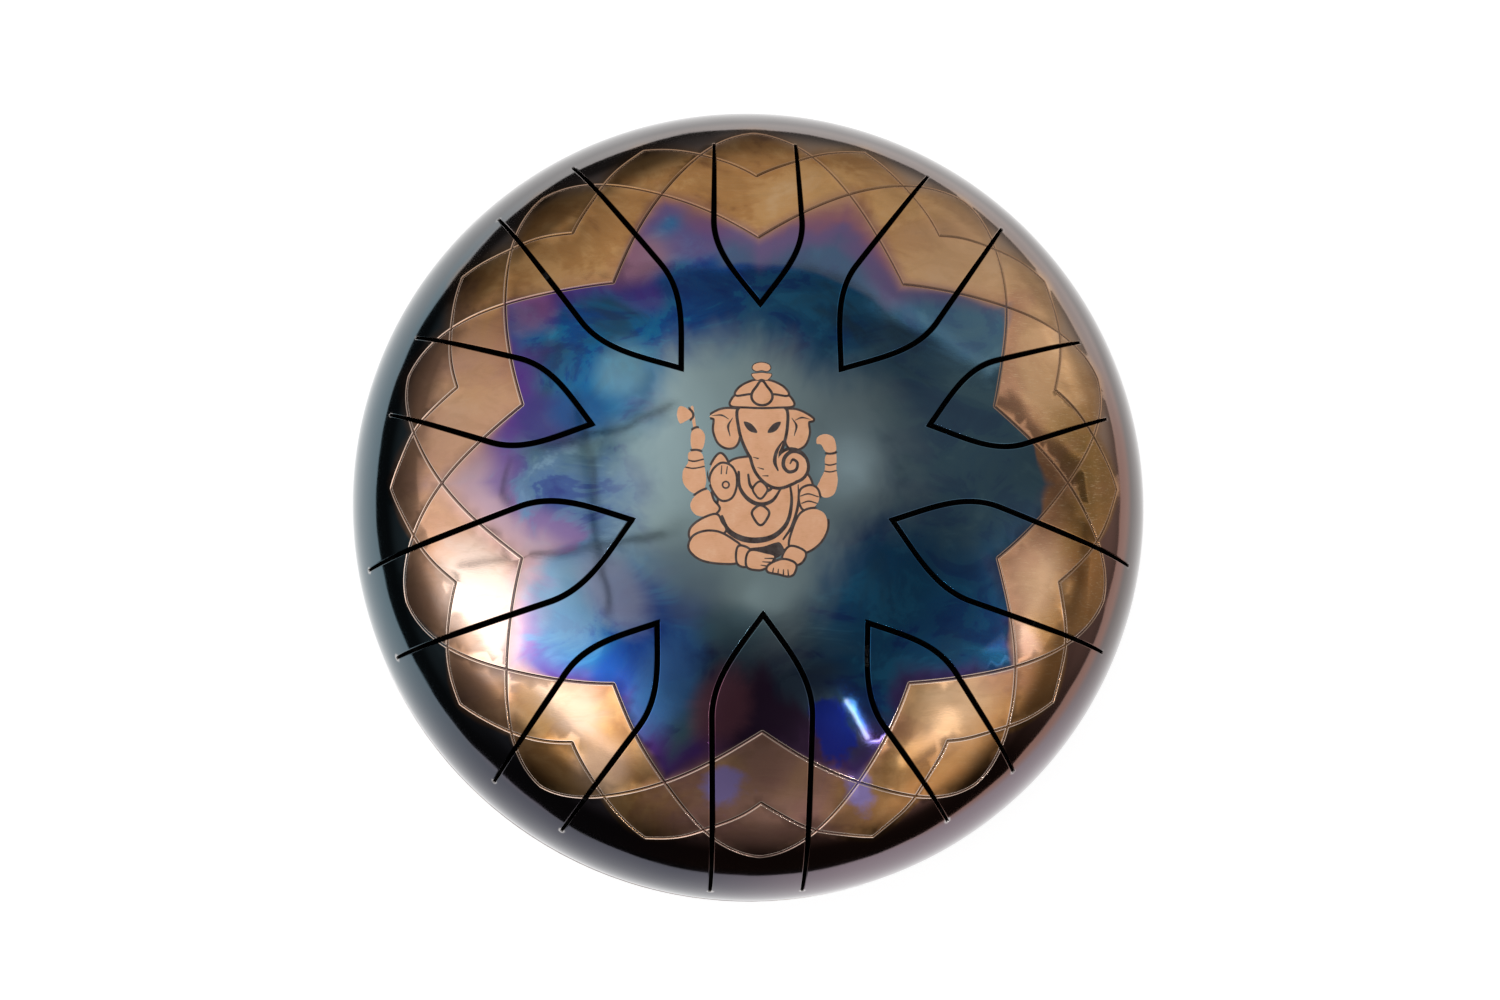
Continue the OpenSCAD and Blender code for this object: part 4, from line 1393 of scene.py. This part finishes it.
def tinted_low():
    m = Mat("heat_tinted_steel_lower", Metallic=1.0, Coat_Weight=0.45, Coat_Roughness=0.06, Coat_IOR=1.5)
    p, x, y, z = m.place()
    r = m.math("SQRT", m.add(m.mul(x, x), m.mul(y, y)))
    big = m.noise(p, 0.012, 2.0, 0.5, 0.4)
    mid = m.noise(p, 0.04, 3.0, 0.55, 0.6)
    q = m.math("DIVIDE", m.add(r, m.add(centred(m, big, 50.0), centred(m, mid, 24.0))), 160.0)
    col = m.ramp(q, [(0.2, (0.30, 0.165, 0.075)), (0.45, (0.36, 0.19, 0.08)), (0.62, (0.20, 0.098, 0.075)),
                     (0.76, (0.085, 0.050, 0.105)), (0.94, (0.105, 0.100, 0.118))])
    back = m.step(m.mark("inner"), 0.05, 0.5)
    m.set("Base Color", m.mix(back, col, (0.035, 0.031, 0.03)))
    m.set("Roughness", m.add(m.add(0.19, m.mul(mid, 0.12)), m.mul(back, 0.35)))
    m.set("Normal", m.bump(m.noise(p, 0.02, 1.0, 0.4), 0.35, 0.004))
    return m.m


def ground_weld():
    m = Mat("ground_weld_steel", Metallic=1.0)
    p, x, y, z = m.place()
    n = m.noise(m.scaled(p, (0.25, 0.25, 2.5)), 1.0, 3.0, 0.6)
    g = m.noise(p, 0.09, 3.0, 0.6)
    col = m.ramp(g, [(0.3, (0.16, 0.12, 0.13)), (0.5, (0.30, 0.25, 0.25)), (0.7, (0.36, 0.29, 0.24))])
    m.set("Base Color", col)
    m.set("Roughness", m.add(0.28, m.mul(n, 0.22)))
    m.set("Normal", m.bump(n, 0.35, 0.0002))
    return m.m


def rubber():
    m = Mat("foot_rubber_black", Specular_IOR_Level=0.4)
    p, x, y, z = m.place()
    n = m.noise(p, 1.4, 3.0, 0.6)
    w = m.noise(p, 0.12, 2.0, 0.5)
    dust = m.step(m.add(z, m.mul(n, 3.0)), 4.0, 0.5)
    col = m.mix(m.mul(dust, 0.5), m.ramp(w, [(0.3, (0.012, 0.012, 0.013)), (0.7, (0.026, 0.025, 0.024))]), (0.075, 0.07, 0.064))
    m.set("Base Color", col)
    m.set("Roughness", m.add(0.55, m.mul(n, 0.25)))
    m.set("Normal", m.bump(n, 0.3, 0.0002))
    return m.m


def zinc():
    m = Mat("zinc_plated_steel", Metallic=1.0)
    p, x, y, z = m.place()
    n = m.noise(p, 0.5, 3.0, 0.6)
    col = m.ramp(n, [(0.3, (0.52, 0.50, 0.44)), (0.5, (0.66, 0.65, 0.62)), (0.7, (0.58, 0.60, 0.64))])
    m.set("Base Color", col)
    m.set("Roughness", m.add(0.24, m.mul(n, 0.18)))
    m.set("Normal", m.bump(m.noise(p, 3.0, 2.0, 0.5), 0.12, 0.0001))
    return m.m


def copper_inlay():
    m = Mat("copper_inlay", Metallic=0.25)
    p, x, y, z = m.place()
    n = m.noise(p, 0.16, 3.0, 0.6)
    s = m.noise(m.scaled(p, (0.6, 3.0, 1.0), 0.3), 1.0, 2.0, 0.5)
    col = m.ramp(m.add(m.mul(n, 0.7), m.mul(s, 0.3)), [(0.3, (0.80, 0.40, 0.21)), (0.5, (0.88, 0.47, 0.27)), (0.7, (0.93, 0.55, 0.34))])
    m.set("Base Color", col)
    m.set("Roughness", m.add(0.38, m.mul(s, 0.16)))
    m.set("Normal", m.bump(s, 0.1, 0.0001))
    return m.m


def dark_line():
    m = Mat("burnt_line", Metallic=0.7)
    p, x, y, z = m.place()
    n = m.noise(p, 0.35, 3.0, 0.6)
    m.set("Base Color", m.ramp(n, [(0.3, (0.060, 0.045, 0.042)), (0.5, (0.095, 0.075, 0.072)), (0.7, (0.135, 0.115, 0.110))]))
    m.set("Roughness", m.add(0.26, m.mul(n, 0.2)))
    m.set("Normal", m.bump(n, 0.12, 0.0001))
    return m.m


def dress(ob, mat):
    ob.data.materials.clear()
    ob.data.materials.append(mat)


m_top, m_low, m_weld, m_rub, m_zinc, m_cop = tinted_top(), tinted_low(), ground_weld(), rubber(), zinc(), copper_inlay()
for ob in made.values():
    dress(ob, m_top)
dress(low, m_low)
dress(weld, m_weld)
for ob in feet:
    dress(ob, m_rub)
dress(screws, m_zinc)
dress(emblem, m_cop)
dress(emblem_lines, dark_line())
for name in ("foot_head_washers", "foot_inner_washers", "foot_nuts"):
    for i in range(len(nodes[name].material_slots)):
        nodes[name].material_slots[i].material = m_zinc


# ---------------------------------------------------------------------------------------------
# Stage: pale floor, soft studio light, camera
# ---------------------------------------------------------------------------------------------
def floor_plane(name, rects, mat, glossy):
    verts, faces = [], []
    for x0, y0, x1, y1 in rects:
        k = len(verts)
        verts += [(x0, y0, 0), (x1, y0, 0), (x1, y1, 0), (x0, y1, 0)]
        faces.append((k, k + 1, k + 2, k + 3))
    me = bpy.data.meshes.new(name)
    me.from_pydata(verts, [], faces)
    ob = bpy.data.objects.new(name, me)
    scene.collection.objects.link(ob)
    ob.data.materials.append(mat)
    ob.visible_glossy = glossy
    return ob


fm = bpy.data.materials.new("studio_floor")
fm.use_nodes = True
nt = fm.node_tree
nt.nodes.clear()
o_ = nt.nodes.new("ShaderNodeOutputMaterial")
add_ = nt.nodes.new("ShaderNodeAddShader")
dif = nt.nodes.new("ShaderNodeBsdfDiffuse")
emi = nt.nodes.new("ShaderNodeEmission")
dif.inputs[0].default_value = (0.42, 0.42, 0.42, 1)
emi.inputs[0].default_value = (1, 1, 1, 1)
# the floor's glow is turned down below the drum: a painted contact shadow
geo = nt.nodes.new("ShaderNodeNewGeometry")
far = nt.nodes.new("ShaderNodeVectorMath")
far.operation = "LENGTH"
dim = nt.nodes.new("ShaderNodeMapRange")
dim.interpolation_type = "SMOOTHSTEP"
for k_, v_ in enumerate((0.085, 0.150, 0.03, 0.84)):
    dim.inputs[k_ + 1].default_value = v_
nt.links.new(geo.outputs["Position"], far.inputs[0])
nt.links.new(far.outputs["Value"], dim.inputs[0])
nt.links.new(dim.outputs[0], emi.inputs[1])
nt.links.new(dif.outputs[0], add_.inputs[0])
nt.links.new(emi.outputs[0], add_.inputs[1])
nt.links.new(add_.outputs[0], o_.inputs[0])
X0, Y0, X1, Y1 = -0.52, -0.50, 0.80, 0.52
floor_plane("studio_table", [(X0, Y0, X1, Y1)], fm, True)
F_ = 6.0
floor_plane("studio_floor_far", [(-F_, -F_, F_, Y0), (-F_, Y1, F_, F_), (-F_, Y0, X0, Y1), (X1, Y0, F_, Y1)], fm, False)


def area(name, theta, az, dist, sx, sy, radiance, colour=(1, 1, 1)):
    """Soft panel that faces the drum, placed by the angle from the zenith and the bearing."""
    t, a = math.radians(theta), math.radians(az)
    d = Vector((math.sin(t) * math.cos(a), math.sin(t) * math.sin(a), math.cos(t)))
    li = bpy.data.lights.new(name, "AREA")
    li.shape, li.size, li.size_y = "RECTANGLE", sx, sy
    li.color = colour
    li.energy = radiance * math.pi * sx * sy
    ob = bpy.data.objects.new(name, li)
    ob.location = d * dist + Vector((0, 0, 0.12))
    ob.rotation_euler = d.to_track_quat("Z", "Y").to_euler()
    scene.collection.objects.link(ob)
    return ob


area("strip_front", 36.8, 302, 1.3, 0.014, 0.17, 32.0)
area("strip_right", 46.0, 313, 1.3, 0.26, 0.060, 1.1)
fill = area("fill_above", 14, 150, 1.6, 1.0, 1.0, 1.75)
fill.visible_glossy = False

world = bpy.data.worlds.new("studio")
scene.world = world
world.use_nodes = True
w = world.node_tree
w.nodes.clear()
wo = w.nodes.new("ShaderNodeOutputWorld")
bg = w.nodes.new("ShaderNodeBackground")
bg_cam = w.nodes.new("ShaderNodeBackground")
mixs = w.nodes.new("ShaderNodeMixShader")
lp = w.nodes.new("ShaderNodeLightPath")
tc = w.nodes.new("ShaderNodeTexCoord")
sep = w.nodes.new("ShaderNodeSeparateXYZ")
w.links.new(tc.outputs["Generated"], sep.inputs[0])


def wmath(op, a, b=None):
    n = w.nodes.new("ShaderNodeMath")
    n.operation = op
    for s, v in zip(n.inputs, (a, b)):
        if isinstance(v, bpy.types.NodeSocket):
            w.links.new(v, s)
        elif v is not None:
            s.default_value = v
    return n.outputs[0]


def heading(theta_deg, az_deg):
    t, a = math.radians(theta_deg), math.radians(az_deg)
    return Vector((math.sin(t) * math.cos(a), math.sin(t) * math.sin(a), math.cos(t)))


def blob(theta_deg, az_deg, width_deg, gain):
    """Soft glow around one direction."""
    n = w.nodes.new("ShaderNodeVectorMath")
    n.operation = "DOT_PRODUCT"
    w.links.new(tc.outputs["Generated"], n.inputs[0])
    n.inputs[1].default_value = heading(theta_deg, az_deg)
    k = 1.0 / (1.0 - math.cos(math.radians(width_deg)))
    return wmath("MULTIPLY", wmath("EXPONENT", wmath("MULTIPLY", wmath("SUBTRACT", n.outputs["Value"], 1.0), k)), gain)


def wstep(v, lo, hi, a=0.0, b=1.0):
    n = w.nodes.new("ShaderNodeMapRange")
    n.interpolation_type = "SMOOTHSTEP"
    for s, q in zip(n.inputs[:5], (v, lo, hi, a, b)):
        if isinstance(q, bpy.types.NodeSocket):
            w.links.new(q, s)
        else:
            s.default_value = q
    return n.outputs[0]


# seams and folds of the tent: two ends each, as sideways over height
SEAMS = [((-0.97, -0.09), (-0.12, 0.0)), ((-0.47, 0.40), (-0.34, -0.27)), ((-0.60, 0.25), (-0.15, 0.325)), ((-0.67, 0.27), (-0.69, 0.06))]
theta = wmath("MULTIPLY", wmath("ARCCOSINE", sep.outputs[2]), 180 / math.pi)
high = wmath("MAXIMUM", sep.outputs[2], 0.05)
across, along = wmath("DIVIDE", sep.outputs[0], high), wmath("DIVIDE", sep.outputs[1], high)


def glows(base, spots):
    for spot in spots:
        base = wmath("ADD", blob(*spot), base)
    return base


# a bright window on the left with two straight edges
window = glows(0.0, ((41, 203, 10, 2.1), (52, 186, 13, 1.25), (36, 224, 10, 1.2), (35, 233, 8, 0.9), (46, 150, 16, 0.42)))
slope = wmath("ADD", wmath("MULTIPLY", across, 0.59), wmath("MULTIPLY", along, 0.81))
shape = wmath("MULTIPLY", wstep(slope, -0.805, -0.780), wstep(across, -1.95, -1.78))
window = wmath("MULTIPLY", window, wmath("ADD", wmath("MULTIPLY", shape, 0.55), 0.45))
glow = glows(0.15, ((20, 145, 18, 0.62), (33, 184, 17, 0.36), (20, 226, 9, 0.14), (34, 115, 18, 0.22), (51, 323, 14, 0.85),
                    (54, 306, 8, 0.45), (48, 352, 8, 0.72), (47, 330, 8, 0.20), (63, 307, 6, 0.45), (57, 38, 13, 0.22), (17, 30, 9, 0.10), (36, 22, 13, 0.15), (15, 332, 9, 0.24), (44, 266, 9, 0.12), (46, 286, 7, 0.30), (31, 240, 6, 0.10), (44, 240, 7, 0.42), (72, 303, 12, 0.90), (35, 80, 13, 0.12), (25, 58, 9, 0.10),
                    (66, 30, 8, 0.60), (20, 30, 4, 0.42),
                    (10, 288, 4, 0.20), (34, 296, 5, 0.25), (27, 268, 13, -0.055)))
glow = wmath("ADD", glow, window)
# a wide panel stands behind the drum: its lower edge shows as a straight border
edge = wmath("ADD", along, wmath("MULTIPLY", wmath("MAXIMUM", wmath("SUBTRACT", across, 0.28), 0.0), 0.44))
panel = wmath("MULTIPLY", wmath("MULTIPLY", wstep(edge, 0.862, 0.884), wstep(across, -1.0, -0.1)), wstep(across, 0.5, 0.9, 1.0, 0.72))
hem = wmath("MULTIPLY", wmath("MULTIPLY", wstep(edge, 0.862, 0.875), wstep(edge, 0.945, 0.925)), wstep(across, 0.38, 0.56))
glow = wmath("ADD", glow, wmath("ADD", wmath("MULTIPLY", panel, 0.50), wmath("MULTIPLY", hem, 0.28)))
# a pale corner of it shows on the right
wedge = wmath("MULTIPLY", wstep(wmath("ADD", wmath("MULTIPLY", across, -0.55), along), -0.820, -0.836),
              wstep(wmath("ADD", wmath("MULTIPLY", across, 0.154), along), -0.258, -0.242))
wedge = wmath("MULTIPLY", wedge, wstep(wmath("ADD", wmath("MULTIPLY", across, 0.372), along), 0.106, 0.088))
wedge = wmath("MULTIPLY", wedge, wstep(theta, 53.0, 50.0))
glow = wmath("ADD", glow, wmath("MULTIPLY", wedge, 1.2))
glow = wmath("MAXIMUM", glow, 0.012)
# the room is dark beyond the tent, and dim and warm only towards the right and behind
toward = wmath("ADD", wmath("MULTIPLY", sep.outputs[0], 0.85), wmath("MULTIPLY", sep.outputs[1], 0.53))
warm = wstep(toward, 0.30, 0.95)
glow = wmath("MULTIPLY", glow, wstep(theta, 55.0, 84.0, 1.0, 0.05))
# seams between the panels of the tent
for (x1, y1), (x2, y2) in SEAMS:
    ln = math.hypot(x2 - x1, y2 - y1)
    ux, uy = (x2 - x1) / ln, (y2 - y1) / ln
    off = wmath("ADD", wmath("MULTIPLY", across, -uy), wmath("MULTIPLY", along, ux))
    off = wmath("ABSOLUTE", wmath("ADD", off, uy * x1 - ux * y1))
    run = wmath("ADD", wmath("ADD", wmath("MULTIPLY", across, ux), wmath("MULTIPLY", along, uy)), -(ux * x1 + uy * y1))
    on = wmath("MULTIPLY", wstep(off, 0.016, 0.006), wmath("MULTIPLY", wstep(run, -0.02, 0.06), wstep(run, ln + 0.02, ln - 0.06)))
    glow = wmath("MULTIPLY", glow, wmath("SUBTRACT", 1.0, wmath("MULTIPLY", on, 0.95)))
room = wmath("MULTIPLY", wmath("MULTIPLY", warm, wstep(theta, 58.0, 76.0)), wstep(theta, 84.0, 114.0, 0.46, 0.10))
side = wmath("ADD", wmath("MULTIPLY", sep.outputs[0], -0.87), wmath("MULTIPLY", sep.outputs[1], 0.5))
dusk = wmath("MULTIPLY", wmath("MULTIPLY", wstep(side, 0.15, 0.85), wstep(theta, 60.0, 72.0)), wstep(theta, 94.0, 82.0, 0.0, 0.07))
lum = wmath("ADD", wmath("ADD", wmath("ADD", glow, room), dusk), 0.010)
comb = w.nodes.new("ShaderNodeCombineColor")
w.links.new(lum, comb.inputs[0])
w.links.new(wmath("MULTIPLY", lum, 0.985), comb.inputs[1])
w.links.new(wmath("MULTIPLY", lum, 0.97), comb.inputs[2])
w.links.new(comb.outputs[0], bg.inputs[0])
bg_cam.inputs[0].default_value = (0.92, 0.92, 0.92, 1)
w.links.new(lp.outputs["Is Camera Ray"], mixs.inputs[0])
w.links.new(bg.outputs[0], mixs.inputs[1])
w.links.new(bg_cam.outputs[0], mixs.inputs[2])
w.links.new(mixs.outputs[0], wo.inputs[0])

# camera: long lens, almost straight down, at the photograph's angle
TILT, AZ, ROLL, DIST, LENS = math.radians(8.4603), math.radians(-25.6183), math.radians(-0.4063), 1100.0, 68.9485
back = np.array([math.sin(AZ) * math.sin(TILT), -math.cos(AZ) * math.sin(TILT), math.cos(TILT)])
right_ = unit(np.cross([0, 1, 0], back))
up_ = np.cross(back, right_)
c_, s_ = math.cos(ROLL), math.sin(ROLL)
right_, up_ = c_ * right_ + s_ * up_, -s_ * right_ + c_ * up_
eye = back * DIST - right_ * -0.3974 - up_ * -2.0459 + np.array([0, 0, Z_SEAM])
cam = bpy.data.cameras.new("camera")
cam.sensor_width, cam.lens = 36.0, LENS
cam.clip_start, cam.clip_end = 0.01, 50.0
cam_ob = bpy.data.objects.new("camera", cam)
cam_ob.matrix_world = Matrix(((right_[0], up_[0], back[0], eye[0] * MM), (right_[1], up_[1], back[1], eye[1] * MM),
                              (right_[2], up_[2], back[2], eye[2] * MM), (0, 0, 0, 1)))
scene.collection.objects.link(cam_ob)
scene.camera = cam_ob
scene.view_settings.view_transform = "Standard"

bpy.context.view_layer.update()
